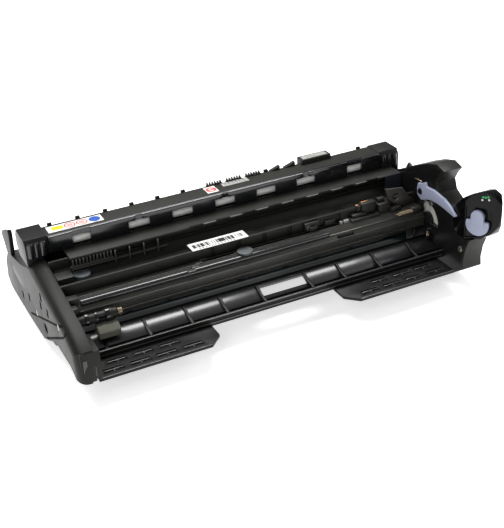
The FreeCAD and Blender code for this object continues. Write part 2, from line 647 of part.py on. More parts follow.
def right_end_plate():
    front = inset(RIGHT_OUTLINE, COVER_WALL + SEAT_GAP, BAY_RIGHT_X, RIGHT_PLATE_X)
    plate = fuse([front, slab(RIGHT_FOOT_OUTLINE, BAY_RIGHT_X, RIGHT_PLATE_X)])
    holes = [bar(BAY_RIGHT_X - 1, RIGHT_PLATE_X + 1, DRUM_Y, DRUM_Z, BUSH_R, LARGE_SIDES),
             hole(BAY_RIGHT_X - 1, RIGHT_PLATE_X + 1, AUGER_Y, AUGER_Z, AUGER_JOURNAL_R + RUN_GAP),
             idler_window(), nose_room()]
    holes += [bar(BAY_RIGHT_X - 1, RIGHT_PLATE_X + 1, y, z, SCREW_R, SMALL_SIDES) for y, z in RIGHT_SCREWS]
    stud = bar(RIGHT_PLATE_X, GEAR_RIGHT_X + GEAR_T + 1.5, IDLER_Y, IDLER_Z, IDLER_STUD_R)
    link_pin = bar(BAY_RIGHT_X - LINK_PIN_L, BAY_RIGHT_X, LINK_PIVOT_Y, LINK_PIVOT_Z, LINK_PIVOT_R)
    seats = []
    for z0, z1 in ((CONTACT_SPRING_LOW_Z - POST_T, CONTACT_SPRING_LOW_Z),
                   (CONTACT_SPRING_TOP_Z, CONTACT_SPRING_TOP_Z + POST_T)):
        seats.append(block(CONTACT_SPRING_X - SPRING_SEAT, BAY_RIGHT_X, CONTACT_SPRING_Y - SPRING_SEAT,
                           CONTACT_SPRING_Y + SPRING_SEAT, z0, z1))
    low, high = PULL_SPRING_Z - POST_T / 2, PULL_SPRING_Z + POST_T / 2
    web = block(BAY_RIGHT_X, BAY_RIGHT_X + POST_T, PULL_SPRING_Y - POST_T, IDLER_WINDOW_REAR_Y + POST_T,
                low, high)
    hook_post = block(PULL_SPRING_RIGHT_X, BAY_RIGHT_X + POST_T, PULL_SPRING_Y - POST_T, PULL_SPRING_Y + 0.4,
                      low, high)
    return fuse([cut(plate, holes), stud, link_pin, spring_ledge(BAY_RIGHT_X - LEDGE_L, BAY_RIGHT_X),
                 web, hook_post] + seats)


def drum_bushes():
    rings = []
    for x0, x1 in ((LEFT_PLATE_X, BAY_LEFT_X + 1.2), (BAY_RIGHT_X - 1.2, RIGHT_PLATE_X)):
        ring = bar(x0, x1, DRUM_Y, DRUM_Z, BUSH_R, LARGE_SIDES)
        rings.append(ring.cut(hole(x0 - 1, x1 + 1, DRUM_Y, DRUM_Z, FLANGE_HUB_R + RUN_GAP, LARGE_SIDES)))
    return Part.makeCompound(rings)


# The drum and what turns with it

def opc_drum():
    tube = rod(DRUM_LEFT_X, DRUM_RIGHT_X, DRUM_Y, DRUM_Z, DRUM_R)
    bore = bar(DRUM_LEFT_X - 1, DRUM_RIGHT_X + 1, DRUM_Y, DRUM_Z, DRUM_R - DRUM_WALL, LARGE_SIDES)
    return tube.cut(bore)


def drum_drive_flange():
    """Plug, hub and gear at the drive end, with a socket for the machine's coupling."""
    plug = bar(DRUM_RIGHT_X - FLANGE_PLUG, DRUM_RIGHT_X, DRUM_Y, DRUM_Z, DRUM_R - DRUM_WALL, LARGE_SIDES)
    rim = bar(DRUM_RIGHT_X, DRUM_RIGHT_X + FLANGE_RIM_T, DRUM_Y, DRUM_Z, DRUM_R, 2 * LARGE_SIDES)
    hub = bar(DRUM_RIGHT_X, GEAR_RIGHT_X + GEAR_T + SOCKET_DEPTH, DRUM_Y, DRUM_Z, FLANGE_HUB_R, LARGE_SIDES)
    teeth = gear(GEAR_RIGHT_X, GEAR_T, DRUM_Y, DRUM_Z, DRUM_TEETH, GEAR_MODULE, IDLER_DIRECTION)
    whole = fuse([plug, rim, hub, teeth])
    end = GEAR_RIGHT_X + GEAR_T + SOCKET_DEPTH
    socket = rod(end - SOCKET_DEPTH, end + 1, DRUM_Y, DRUM_Z, SOCKET_R)
    return cut(whole, [bar(DRUM_RIGHT_X - 20, end, DRUM_Y, DRUM_Z, SHAFT_R), socket])


def drum_hub_flange():
    plug = bar(DRUM_LEFT_X, DRUM_LEFT_X + FLANGE_PLUG, DRUM_Y, DRUM_Z, DRUM_R - DRUM_WALL, LARGE_SIDES)
    rim = bar(DRUM_LEFT_X - FLANGE_RIM_T, DRUM_LEFT_X, DRUM_Y, DRUM_Z, DRUM_R, 2 * LARGE_SIDES)
    hub = bar(GEAR_LEFT_X, DRUM_LEFT_X, DRUM_Y, DRUM_Z, FLANGE_HUB_R, LARGE_SIDES)
    teeth = gear(GEAR_LEFT_X, LEFT_GEAR_T, DRUM_Y, DRUM_Z, LEFT_TEETH, LEFT_MODULE, AUGER_DIRECTION)
    bore = bar(GEAR_LEFT_X - 1, DRUM_LEFT_X + 20, DRUM_Y, DRUM_Z, SHAFT_R)
    return fuse([plug, rim, hub, teeth]).cut(bore)


def drum_shaft():
    return bar(LEFT_COVER_X + 1.5, GEAR_RIGHT_X + GEAR_T - 0.5, DRUM_Y, DRUM_Z, SHAFT_R)


def drive_idler_gear():
    start = IDLER_DIRECTION + 180 + 180 / IDLER_TEETH
    wheel = gear(GEAR_RIGHT_X, GEAR_T, IDLER_Y, IDLER_Z, IDLER_TEETH, GEAR_MODULE, start)
    return wheel.cut(hole(GEAR_RIGHT_X - 1, GEAR_RIGHT_X + GEAR_T + 1, IDLER_Y, IDLER_Z,
                          IDLER_STUD_R + RUN_GAP))


# Charge roller, its bearings and springs

CHARGE_LEFT_X = DRUM_LEFT_X + CHARGE_END_MARGIN
CHARGE_RIGHT_X = DRUM_RIGHT_X - CHARGE_END_MARGIN


def charge_roller():
    sleeve = bar(CHARGE_LEFT_X, CHARGE_RIGHT_X, CHARGE_Y, CHARGE_Z, CHARGE_R, 2 * SMALL_SIDES)
    return sleeve.cut(bar(CHARGE_LEFT_X - 1, CHARGE_RIGHT_X + 1, CHARGE_Y, CHARGE_Z, CHARGE_SHAFT_R))


def charge_roller_shaft():
    return bar(BAY_LEFT_X + 0.6, BAY_RIGHT_X - 0.6, CHARGE_Y, CHARGE_Z, CHARGE_SHAFT_R)


def bearing_spans():
    return ((BAY_LEFT_X + SEAT_GAP, BAY_LEFT_X + LEDGE_L), (BAY_RIGHT_X - LEDGE_L, BAY_RIGHT_X - SEAT_GAP))


def charge_roller_bearings():
    blocks = []
    half = CHARGE_SHAFT_R + BEARING_WALL
    for x0, x1 in bearing_spans():
        body = block(x0, x1, CHARGE_Y - half, CHARGE_Y + half, CHARGE_Z - 2, CHARGE_Z + half)
        blocks.append(body.cut(hole(x0 - 1, x1 + 1, CHARGE_Y, CHARGE_Z, CHARGE_SHAFT_R + RUN_GAP)))
    return Part.makeCompound(blocks)


def charge_roller_springs():
    low = CHARGE_Z + CHARGE_SHAFT_R + BEARING_WALL + CHARGE_WIRE_R + SEAT_GAP
    high = LEDGE_Z - CHARGE_WIRE_R - SEAT_GAP
    coils = []
    for x0, x1 in bearing_spans():
        start = V((x0 + x1) / 2, CHARGE_Y, low)
        coils.append(spring(start, V(0, 0, 1), high - low, CHARGE_SPRING_R, CHARGE_WIRE_R, 2))
    return Part.makeCompound(coils)


# Cleaner casing, blade and auger

def cleaner_casing():
    x0, x1 = BAY_LEFT_X, BAY_RIGHT_X
    rear = BAY_LIP_Y - SEAT_GAP
    top = CASING_TOP_Z
    front = CASING_FRONT_Y
    low = CASING_FRONT_LOW_Z
    t = CASING_T
    outline = [(rear, top), (rear - 6, top), (LIGHT_GUIDE_Y - LIGHT_GUIDE_R, top - 4.0),
               (front, top - 6.4), (front, low), (front + t, low), (front + t, top - 8.0),
               (LIGHT_GUIDE_Y - 0.5, top - 6.2), (rear - 5, top - t), (rear, top - t)]
    casing = slab(outline, x0, x1)
    groove = hole(x0 + CASING_GROOVE_END, LIGHT_GUIDE_RIGHT_X + SEAT_GAP,
                  LIGHT_GUIDE_Y, LIGHT_GUIDE_Z, LIGHT_GUIDE_R + RUN_GAP)
    bridge = PAD_MIDDLE[0] - BRIDGE_L / 2
    slot_y = LIGHT_GUIDE_Y + LIGHT_GUIDE_R + CASING_WEB
    slots = [block(CASING_COVER_RIGHT_X, bridge, slot_y, rear + 1, top - 3, top + 1),
             block(bridge + BRIDGE_L, x1 - CASING_GROOVE_END, slot_y, rear + 1, top - 3, top + 1)]
    step = block(LIGHT_GUIDE_RIGHT_X + 6, LIGHT_GUIDE_RIGHT_X + 20, front - 1, front + 3.4, top - 7, top)
    hook_post = block(PULL_SPRING_LEFT_X - POST_T, PULL_SPRING_LEFT_X, PULL_SPRING_Y - 1, PULL_SPRING_Y + 1,
                 top - 6, PULL_SPRING_Z + 1)
    return cut(casing, [groove, step] + slots).fuse(hook_post)


def light_guide():
    return bar(BAY_LEFT_X + CASING_GROOVE_END + SEAT_GAP, LIGHT_GUIDE_RIGHT_X,
               LIGHT_GUIDE_Y, LIGHT_GUIDE_Z, LIGHT_GUIDE_R)


def blade_bracket():
    x0, x1 = DRUM_LEFT_X, DRUM_RIGHT_X
    y = CASING_FRONT_Y + CASING_T + SEAT_GAP
    z = CASING_FRONT_LOW_Z
    upright = block(x0, x1, y, y + BRACKET_T, z - 1.5, z + 4.5)
    foot = block(x0, x1, y, y + 3.6, z - 1.5, z - 1.5 + BRACKET_T)
    return upright.fuse(foot)


def cleaning_blade():
    """A polyurethane strip from the bracket's foot to the drum's front shoulder."""
    x0, x1 = DRUM_LEFT_X + 3, DRUM_RIGHT_X - 3
    foot_y = CASING_FRONT_Y + CASING_T + SEAT_GAP + 1.0
    foot_z = CASING_FRONT_LOW_Z - 1.5
    upper_tip = polar(DRUM_Y, DRUM_Z, DRUM_R + SOFT_GAP, BLADE_DIRECTION)
    lower_tip = polar(DRUM_Y, DRUM_Z, DRUM_R + SOFT_GAP, BLADE_DIRECTION + BLADE_TIP_SWEEP)
    outline = [(foot_y, foot_z), (foot_y, foot_z - BLADE_T), lower_tip, upper_tip, (foot_y + 2.6, foot_z)]
    return slab(outline, x0, x1)


def twisted_strip(length, half_width, half, turns):
    """A flat strip along the Z axis, twisted about it."""
    count = int(turns * COIL_SIDES)
    sections = []
    for i in range(count + 1):
        a = -2 * math.pi * i / COIL_SIDES
        across = V(math.cos(a), math.sin(a), 0) * half_width
        thick = V(-math.sin(a), math.cos(a), 0) * half
        middle = V(0, 0, length * i / count)
        sections.append([middle - across - thick, middle + across - thick,
                         middle + across + thick, middle - across + thick])
    return banded(sections)


def waste_auger():
    """A twisted strip that carries spent toner aside, with a journal in each end plate."""
    x0, x1 = BAY_LEFT_X + AUGER_END_GAP, BAY_RIGHT_X - AUGER_END_GAP
    turns = (x1 - x0) / AUGER_PITCH
    blade = twisted_strip(x1 - x0, AUGER_BLADE_R, AUGER_BLADE_T / 2, turns)
    blade.Placement = FreeCAD.Placement(V(x0, AUGER_Y, AUGER_Z), FreeCAD.Rotation(V(0, 0, 1), ALONG))
    left = bar(GEAR_LEFT_X, x0 + AUGER_BLADE_R, AUGER_Y, AUGER_Z, AUGER_JOURNAL_R)
    right = bar(x1 - AUGER_BLADE_R, RIGHT_PLATE_X, AUGER_Y, AUGER_Z, AUGER_JOURNAL_R)
    return blade.fuse(left).fuse(right)


def auger_gear():
    start = AUGER_DIRECTION + 180 + 180 / AUGER_TEETH
    wheel = gear(GEAR_LEFT_X, LEFT_GEAR_T, AUGER_Y, AUGER_Z, AUGER_TEETH, LEFT_MODULE, start)
    return wheel.cut(bar(GEAR_LEFT_X - 1, LEFT_PLATE_X, AUGER_Y, AUGER_Z, AUGER_JOURNAL_R))


def waste_pipe():
    pipe = bar(LEFT_PLATE_X, PIPE_RIGHT_X, PIPE_Y, PIPE_Z, PIPE_R)
    collar = bar(PIPE_RIGHT_X - 5, PIPE_RIGHT_X - 3, PIPE_Y, PIPE_Z, PIPE_R + PIPE_COLLAR)
    window = block(PIPE_RIGHT_X - 13, PIPE_RIGHT_X - 6, PIPE_Y - PIPE_R - 1, PIPE_Y - PIPE_R + 1.2,
                   PIPE_Z - 1.4, PIPE_Z + 1.6)
    bore = bar(LEFT_PLATE_X - 1, PIPE_RIGHT_X - 2, PIPE_Y, PIPE_Z, PIPE_R - 1, SMALL_SIDES)
    tip = bar(PIPE_RIGHT_X, PIPE_RIGHT_X + PIPE_TIP_L, PIPE_Y, PIPE_Z, 1.0, SMALL_SIDES)
    return fuse([pipe, collar, tip]).cut(window).cut(bore)


def pipe_spring():
    start = V(PIPE_RIGHT_X + 0.6, PIPE_Y, PIPE_Z)
    return spring(start, ALONG, PIPE_TIP_L - 2.4, PIPE_R - 1.2, 0.35, 2)


def foam_pad():
    """A soft seal under the pipe, with a slanted front face."""
    x0, x1 = FOAM_LEFT_X, FOAM_LEFT_X + FOAM_L
    top = PIPE_Z - PIPE_R - PIPE_COLLAR
    low = BEAM_TOP_Z + 3.4
    outline = [(FOAM_FRONT_Y, low), (FOAM_FRONT_Y - 0.5, top - 3), (FOAM_FRONT_Y + 3, top),
               (FOAM_FRONT_Y + FOAM_W, top), (FOAM_FRONT_Y + FOAM_W, low)]
    return slab(outline, x0, x1)


# Rear guide bar

def window_cuts():
    cuts = []
    for x, w, notch in zip(WINDOW_X, WINDOW_W, WINDOW_NOTCH_W):
        cuts.append(block(x - w / 2, x + w / 2, BAR_FRONT_Y - 1, BAR_FRONT_Y + BAR_GLOSS_T + 1,
                          WINDOW_LOW_Z, WINDOW_HIGH_Z))
        if notch:
            cuts.append(block(x - notch / 2, x + notch / 2, BAR_FRONT_Y - 1, BAR_FRONT_Y + 0.8,
                              WINDOW_HIGH_Z, BAR_TOP_Z + 1))
    return cuts


def window_guide():
    """The glossy front strip of the bar, with a rounded shoulder and seven windows."""
    x0, x1 = CAP_LEFT_X, CAP_RIGHT_X
    y, z = BAR_FRONT_Y, SHELF_Z
    strip = block(x0, x1, y, y + BAR_GLOSS_T, z, BAR_TOP_Z)
    shoulder = along_x_edges(strip, lambda ey, ez: ey < y + 0.1 and ez > BAR_TOP_Z - 0.1)
    strip = strip.makeFillet(BAR_GLOSS_T * 0.9, shoulder)
    return cut(strip, window_cuts())


def rear_nub(x):
    return block(x - 1.6, x + 1.6, BAR_REAR_Y - 0.5, BAR_REAR_Y + 1.4, BAR_TOP_Z - 6, BAR_TOP_Z + 1.6)


def tooth_group(x):
    """A short comb of fine teeth on the rear edge of the bar's top."""
    low, root, tip = BAR_TOP_Z - 4, BAR_TOP_Z + 0.4, BAR_TOP_Z + 2.6
    corners = [(x - 0.6, low), (x - 0.6, root)]
    for i in range(TEETH_PER_GROUP):
        left = x + i * TOOTH_PITCH
        corners += [(left, root), (left + 0.1, tip), (left + 0.7, tip), (left + 0.8, root)]
    corners += [(x + TEETH_PER_GROUP * TOOTH_PITCH, root), (x + TEETH_PER_GROUP * TOOTH_PITCH, low)]
    points = [V(cx, BAR_REAR_Y - 1.6, cz) for cx, cz in corners]
    return Part.Face(Part.makePolygon(points + points[:1])).extrude(V(0, 2.8, 0))


def saw_step(x, length, rise):
    """A ramped rib on the rear edge of the bar's top."""
    corners = [V(x, BAR_REAR_Y - 2, BAR_TOP_Z - 1), V(x + length, BAR_REAR_Y - 2, BAR_TOP_Z - 1),
               V(x + length, BAR_REAR_Y - 2, BAR_TOP_Z + rise), V(x, BAR_REAR_Y - 2, BAR_TOP_Z + 0.3)]
    return Part.Face(Part.makePolygon(corners + corners[:1])).extrude(V(0, 3.2, 0))


def bar_top_cover():
    x0, x1 = CAP_LEFT_X, CAP_RIGHT_X
    y0 = BAR_FRONT_Y + BAR_GLOSS_T
    top = block(x0, x1, y0, BAR_REAR_Y, BAR_TOP_Z - WALL, BAR_TOP_Z)
    skirt = block(x0, x1, BAR_REAR_Y - WALL, BAR_REAR_Y, SHELF_Z, BAR_TOP_Z)
    box = block(TOP_BOX_X, TOP_BOX_X + TOP_BOX_L, BAR_REAR_Y - 4, BAR_REAR_Y + 4.6,
                BAR_TOP_Z - 5, BAR_TOP_Z + 3.6)
    steps = [saw_step(x, length, rise) for x, length, rise in SAW_STEPS]
    return fuse([top, skirt, box] + steps + [rear_nub(x) for x in NUB_X]
                + [tooth_group(x) for x in TOOTH_GROUPS_X])


def bar_end_cap(x0, x1, inner_x, rear):
    """An end block of the bar with rounded shoulders and a bearing for the roller shaft."""
    y0, y1 = BAR_FRONT_Y - 0.4, BAR_REAR_Y + rear
    outline = [(y0, BAR_LOW_Z), (y0, BAR_TOP_Z - 3), (y0 + 2.4, BAR_TOP_Z + 0.4),
               (y1 - 4, BAR_TOP_Z + 0.4), (y1, BAR_TOP_Z - 5), (y1, BAR_LOW_Z + 6), (y1 - 6, BAR_LOW_Z)]
    cap = slab(outline, x0, x1)
    step = 1 if inner_x == x1 else -1
    ring = block(min(inner_x, inner_x - step * 3.4), max(inner_x, inner_x - step * 3.4),
                 y0 - 1, y0 + 1.2, BAR_LOW_Z - 1, BAR_TOP_Z - 2)
    bore = hole(min(inner_x, inner_x - step * 8), max(inner_x, inner_x - step * 8),
                ROLLER_Y, ROLLER_Z, ROLLER_SHAFT_R + RUN_GAP)
    seat = block(BAY_LEFT_X - SEAT_GAP, BAY_RIGHT_X + SEAT_GAP, y0 - 1, BAR_REAR_Y + SEAT_GAP,
                 BAR_LOW_Z - 1, SHELF_Z)
    return cut(cap, [ring, bore, seat])


def idler_shaft():
    return bar(CAP_LEFT_X - 7.5, CAP_RIGHT_X + 7.5, ROLLER_Y, ROLLER_Z, ROLLER_SHAFT_R, SMALL_SIDES)


def window_rollers():
    rollers = []
    for x, w in zip(WINDOW_X, WINDOW_W):
        half = w / 2 + ROLLER_OVERHANG
        roller = bar(x - half, x + half, ROLLER_Y, ROLLER_Z, ROLLER_R)
        rollers.append(roller.cut(bar(x - half - 1, x + half + 1, ROLLER_Y, ROLLER_Z, ROLLER_SHAFT_R,
                                      SMALL_SIDES)))
    return Part.makeCompound(rollers)


# Rear housing

def rear_housing():
    shell = slab(REAR_OUTLINE, BAY_LEFT_X, BAY_RIGHT_X)
    hollow = inset(REAR_OUTLINE, HOUSING_BACK_WALL, BAY_LEFT_X + HOUSING_BACK_WALL,
                   BAY_RIGHT_X - HOUSING_BACK_WALL)
    ribs = []
    x = BAY_LEFT_X + REAR_RIB_PITCH
    while x < BAY_RIGHT_X - REAR_RIB_PITCH / 2:
        ribs.append(slab(REAR_RIB_OUTLINE, x, x + WALL))
        x += REAR_RIB_PITCH
    return fuse([shell.cut(hollow)] + ribs)


# End covers

def rim_extension(outline, x0, x1, y_limit):
    """The cover's rim carried over the end plate's edge, forward of a limit."""
    ring = slab(outline, x0, x1).cut(inset(outline, COVER_WALL, x0 - 1, x1 + 1))
    return ring.common(block(x0, x1, -200, y_limit, -10, 200))


def left_side_cover():
    body = slab(LEFT_OUTLINE, LEFT_COVER_X, LEFT_PLATE_X)
    upper = []
    for edge in body.Edges:
        a, b = edge.Vertexes[0].Point, edge.Vertexes[-1].Point
        outer = abs(a.x - LEFT_COVER_X) < 0.01 and abs(b.x - LEFT_COVER_X) < 0.01
        if outer and (a.z + b.z) / 2 > LEFT_RIM_FROM_Z and max(a.y, b.y) < BAR_FRONT_Y - 1:
            upper.append(edge)
    body = body.makeFillet(LEFT_RIM_ROUND, upper)
    bulge = rod(GEAR_ROOM_X - BULGE_WALL, LEFT_PLATE_X, DRUM_Y, DRUM_Z, LEFT_TIP_R + GEAR_ROOM + BULGE_WALL)
    body = fuse([body, bulge, slab(TAB_OUTLINE, LEFT_COVER_X, LEFT_COVER_X + TAB_T)])
    hollow = inset(LEFT_OUTLINE, COVER_POCKET_WALL, LEFT_COVER_X + COVER_WALL, LEFT_PLATE_X + 1)
    gear_room = hole(GEAR_ROOM_X, LEFT_PLATE_X + 1, DRUM_Y, DRUM_Z, LEFT_TIP_R + GEAR_ROOM, LARGE_SIDES)
    auger_room = hole(GEAR_ROOM_X, LEFT_PLATE_X + 1, AUGER_Y, AUGER_Z, AUGER_TIP_R + GEAR_ROOM, LARGE_SIDES)
    front_block = block(LEFT_COVER_X + 3, BAY_LEFT_X + 4, -81.5, -60, 20.5, 41.0)
    rim = front_rim(LEFT_PLATE_X, BAY_LEFT_X)
    body = fuse([cut(body, [hollow, gear_room, auger_room]), rim, front_block])
    holes = [hole(LEFT_COVER_X - 1, LEFT_COVER_X + 5, DRUM_Y, DRUM_Z, SHAFT_R + 0.8)]
    for y, z in LEFT_SCREWS:
        holes.append(bar(LEFT_COVER_X - 1, LEFT_COVER_X + 5, y, z, SCREW_R, SMALL_SIDES))
        holes.append(hole(LEFT_COVER_X - 1, LEFT_COVER_X + SCREW_HEAD_T, y, z, SCREW_HEAD_R + SEAT_GAP,
                          SMALL_SIDES))
    holes.append(inset(list(SHOE_OUTLINE), -SEAT_GAP, LEFT_COVER_X - 1, LEFT_PLATE_X + 1))
    for y, z in CONTACT_SPOTS:
        holes.append(block(LEFT_COVER_X - 1, LEFT_COVER_X + 5, y - 2, y + 2, z - 3.2, z + 3.2))
    return cut(body, holes)


def front_rim(x0, x1):
    """The left cover's rim carried inwards over the end plate's edge."""
    low = min(z for y, z in LEFT_OUTLINE)
    reach = block(x0, x1, LEFT_RIM_FRONT_Y, LEFT_RIM_REAR_Y, LEFT_RIM_LOW_Z, low + LEFT_COVER_L)
    strip = reach.common(slab(LEFT_OUTLINE, x0, x1))
    return strip.cut(inset(LEFT_FOOT_OUTLINE, -SEAT_GAP, x0 - 1, x1 + 1))


def contact_plates():
    plates = []
    for y, z in CONTACT_SPOTS:
        plates.append(block(LEFT_COVER_X + COVER_WALL, LEFT_COVER_X + COVER_WALL + 0.6,
                            y - 2.8, y + 2.8, z - 4, z + 4))
    return Part.makeCompound(plates)


def right_side_cover():
    body = slab(RIGHT_OUTLINE, RIGHT_PLATE_X, RIGHT_COVER_X)
    hollow = inset(RIGHT_OUTLINE, COVER_WALL, RIGHT_PLATE_X - 1, RIGHT_COVER_X - COVER_WALL)
    rim = rim_extension(RIGHT_OUTLINE, BAY_RIGHT_X, RIGHT_PLATE_X, -2 - SEAT_GAP)
    spike = slab(SPIKE_OUTLINE, RIGHT_PLATE_X, RIGHT_PLATE_X + WALL)
    coupling_hole = bar(RIGHT_PLATE_X, RIGHT_COVER_X + 1, DRUM_Y, DRUM_Z, FLANGE_HUB_R + 1.5, LARGE_SIDES)
    return cut(fuse([body.cut(hollow), rim, spike]), [coupling_hole, nose_room()])


def nose_room():
    return inset(NOSE_OUTLINE, -SEAT_GAP, BAY_RIGHT_X - 1, NOSE_RIGHT_X + 1)


def on_face(shape, along, z, out):
    """Move a shape from its own axes to the nose's slanted face: along it, up, and outwards."""
    turn = FreeCAD.Rotation(FACE_ALONG, V(0, 0, 1), FACE_NORMAL, "XYZ")
    start = V(BAY_RIGHT_X, NOSE_FACE_Y, z) + FACE_ALONG * along + FACE_NORMAL * out
    shape.Placement = FreeCAD.Placement(start, turn)
    return shape


def right_front_housing():
    """The glossy nose of the right cheek, with a slanted face recessed for the lock lever."""
    side = slab(NOSE_OUTLINE, BAY_RIGHT_X, NOSE_RIGHT_X)
    low = min(z for y, z in NOSE_OUTLINE) - 1
    rear = max(y for y, z in NOSE_OUTLINE) + 1
    plan = [(BAY_RIGHT_X, rear), (BAY_RIGHT_X, NOSE_FACE_Y), (FACE_END_X, FACE_END_Y),
            (FACE_END_X + NOSE_ROUND / 3, NOSE_FRONT_Y + 1), (FACE_END_X + NOSE_ROUND / 2, NOSE_FRONT_Y),
            (NOSE_RIGHT_X - NOSE_ROUND / 3, NOSE_FRONT_Y + NOSE_ROUND / 3),
            (NOSE_RIGHT_X, NOSE_FRONT_Y + NOSE_ROUND), (NOSE_RIGHT_X, rear)]
    corners = [V(x, y, low) for x, y in plan]
    prism = Part.Face(Part.makePolygon(corners + corners[:1])).extrude(V(0, 0, NOSE_TOP_Z + 1 - low))
    nose = side.common(prism)
    pocket = Part.makeBox(RECESS_END - RECESS_START, NOSE_TOP_Z - low, 2 * RECESS_T)
    on_face(pocket, RECESS_START, low, -RECESS_T)
    room = inset(NOSE_OUTLINE, RECESS_RIM, BAY_RIGHT_X - 9, NOSE_RIGHT_X + 9)
    below = block(BAY_RIGHT_X - 9, NOSE_RIGHT_X + 9, NOSE_FRONT_Y - 9, rear, low, RECESS_TOP_Z)
    pin_hole = Part.makeCylinder(LEVER_PIN_R + RUN_GAP, LEVER_PIN_L + 1)
    on_face(pin_hole, LEVER_ALONG, LEVER_Z, -RECESS_T - LEVER_PIN_L - 0.5)
    return cut(nose, [pocket.common(room).common(below), pin_hole])


def lock_lever():
    """A half-round lever with an upright grip, turning on a pin in the nose."""
    disc = Part.makeCylinder(LEVER_R, LEVER_T)
    disc = disc.cut(block(-20, 20, 3.0, 20, -1, 9))
    half = LEVER_TAB_W / 2
    tab = block(-half, half, 0, LEVER_TAB_TOP - half, 0, LEVER_T + LEVER_GRIP_T)
    tab = tab.fuse(Part.makeCylinder(half, LEVER_T + LEVER_GRIP_T, V(0, LEVER_TAB_TOP - half, 0)))
    pin = post(V(0, 0, -LEVER_PIN_L), UP, LEVER_PIN_L, LEVER_PIN_R)
    return on_face(fuse([disc, tab, pin]), LEVER_ALONG, LEVER_Z, -RECESS_T + RUN_GAP)


# Link arm, springs and other small parts

def link_arm():
    x1 = BAY_RIGHT_X - SOFT_GAP
    arm = slab(list(LINK_OUTLINE), x1 - LINK_T, x1)
    return arm.cut(hole(x1 - LINK_T - 1, x1 + 1, LINK_PIVOT_Y, LINK_PIVOT_Z, LINK_PIVOT_R + RUN_GAP))


def return_wire():
    """The straight leg of the wire that pulls the link arm back."""
    start = V(BAY_RIGHT_X - RETURN_WIRE_R, RETURN_WIRE_Y, RETURN_WIRE_Z)
    return post(start, V(0, -1, RETURN_WIRE_RISE), RETURN_WIRE_L, RETURN_WIRE_R, SMALL_SIDES)


def pull_spring():
    """A tension spring with a straight hook leg at each end."""
    x0, x1 = PULL_SPRING_LEFT_X, PULL_SPRING_RIGHT_X
    y, z = PULL_SPRING_Y, PULL_SPRING_Z
    a, b = x0 + PULL_HOOK_L, x1 - PULL_HOOK_L
    coil = spring(V(a, y, z), ALONG, b - a, PULL_SPRING_R, PULL_WIRE_R, PULL_COILS)
    legs = [bar(x0, a + PULL_WIRE_R, y, z - PULL_SPRING_R, PULL_WIRE_R, COIL_SIDES),
            bar(b - PULL_WIRE_R, x1, y, z - PULL_SPRING_R, PULL_WIRE_R, COIL_SIDES)]
    return coil.fuse(legs[0]).fuse(legs[1])


def contact_spring():
    wire = CONTACT_WIRE_R
    low = CONTACT_SPRING_LOW_Z + wire
    start = V(CONTACT_SPRING_X, CONTACT_SPRING_Y, low)
    length = CONTACT_SPRING_TOP_Z - wire - low
    return spring(start, V(0, 0, 1), length, CONTACT_SPRING_R, wire, CONTACT_COILS)


def screw(x_head, y, z):
    """A screw whose head ends at x_head and whose shank points along X."""
    head = bar(x_head - SCREW_HEAD_T, x_head, y, z, SCREW_HEAD_R, SMALL_SIDES)
    shank = bar(x_head, x_head + SCREW_L, y, z, SCREW_R, SMALL_SIDES)
    return head.fuse(shank)


def cover_screws():
    screws = [screw(BAY_RIGHT_X, y, z) for y, z in RIGHT_SCREWS]
    screws += [screw(LEFT_COVER_X + SCREW_HEAD_T, y, z) for y, z in LEFT_SCREWS]
    return Part.makeCompound(screws)


def round_pads(trough):
    x, y, z = PAD_LEFT
    left = post(V(x, y, BAY_FLOOR_Z), UP, z - BAY_FLOOR_Z, PAD_R, LARGE_SIDES).cut(trough)
    left = max(left.Solids, key=lambda solid: solid.Volume)
    x, y, z = PAD_MIDDLE
    middle = post(V(x, y, CASING_TOP_Z), UP, z - CASING_TOP_Z, PAD_R - SEAT_GAP, LARGE_SIDES)
    middle = middle.cut(hole(x - PAD_R, x + PAD_R, LIGHT_GUIDE_Y, LIGHT_GUIDE_Z, LIGHT_GUIDE_R + RUN_GAP))
    return Part.makeCompound([left, middle])


def flag_bracket():
    """The bracket with a round hole on the bay's lip, near the right cheek."""
    y1 = BAY_LIP_Y
    corners = [V(x, y1, z) for x, z in FLAG_OUTLINE]
    plate = Part.Face(Part.makePolygon(corners + corners[:1])).extrude(V(0, -FLAG_T, 0))
    x, z = FLAG_HOLE
    return plate.cut(post(V(x, y1 + FLAG_T, z), V(0, -1, 0), 3 * FLAG_T, FLAG_HOLE_R))


def film_flap():
    return block(FILM_LEFT_X, BAY_RIGHT_X - SOFT_GAP, SHELF_FRONT_Y - FILM_T, SHELF_FRONT_Y,
                 FILM_LOW_Z, SHELF_Z)


def left_guide_shoe():
    return slab(list(SHOE_OUTLINE), LEFT_COVER_X, LEFT_PLATE_X)


shapes = {}
shapes["main_frame"] = main_frame()
shapes["front_guide_beam"] = front_guide_beam()
shapes["lower_guide_plate"] = lower_guide_plate()
shapes["left_end_plate"] = left_end_plate()
shapes["right_end_plate"] = right_end_plate()
shapes["drum_bushes"] = drum_bushes()
shapes["opc_drum"] = opc_drum()
shapes["drum_drive_flange"] = drum_drive_flange()
shapes["drum_hub_flange"] = drum_hub_flange()
shapes["drum_shaft"] = drum_shaft()
shapes["drive_idler_gear"] = drive_idler_gear()
shapes["charge_roller"] = charge_roller()
shapes["charge_roller_shaft"] = charge_roller_shaft()
shapes["charge_roller_bearings"] = charge_roller_bearings()
shapes["charge_roller_springs"] = charge_roller_springs()
shapes["cleaner_casing"] = cleaner_casing()
shapes["light_guide"] = light_guide()
shapes["blade_bracket"] = blade_bracket()
shapes["cleaning_blade"] = cleaning_blade()
shapes["waste_auger"] = waste_auger()
shapes["auger_gear"] = auger_gear()
shapes["waste_pipe"] = waste_pipe()
shapes["pipe_spring"] = pipe_spring()
shapes["foam_pad"] = foam_pad()
shapes["window_guide"] = window_guide()
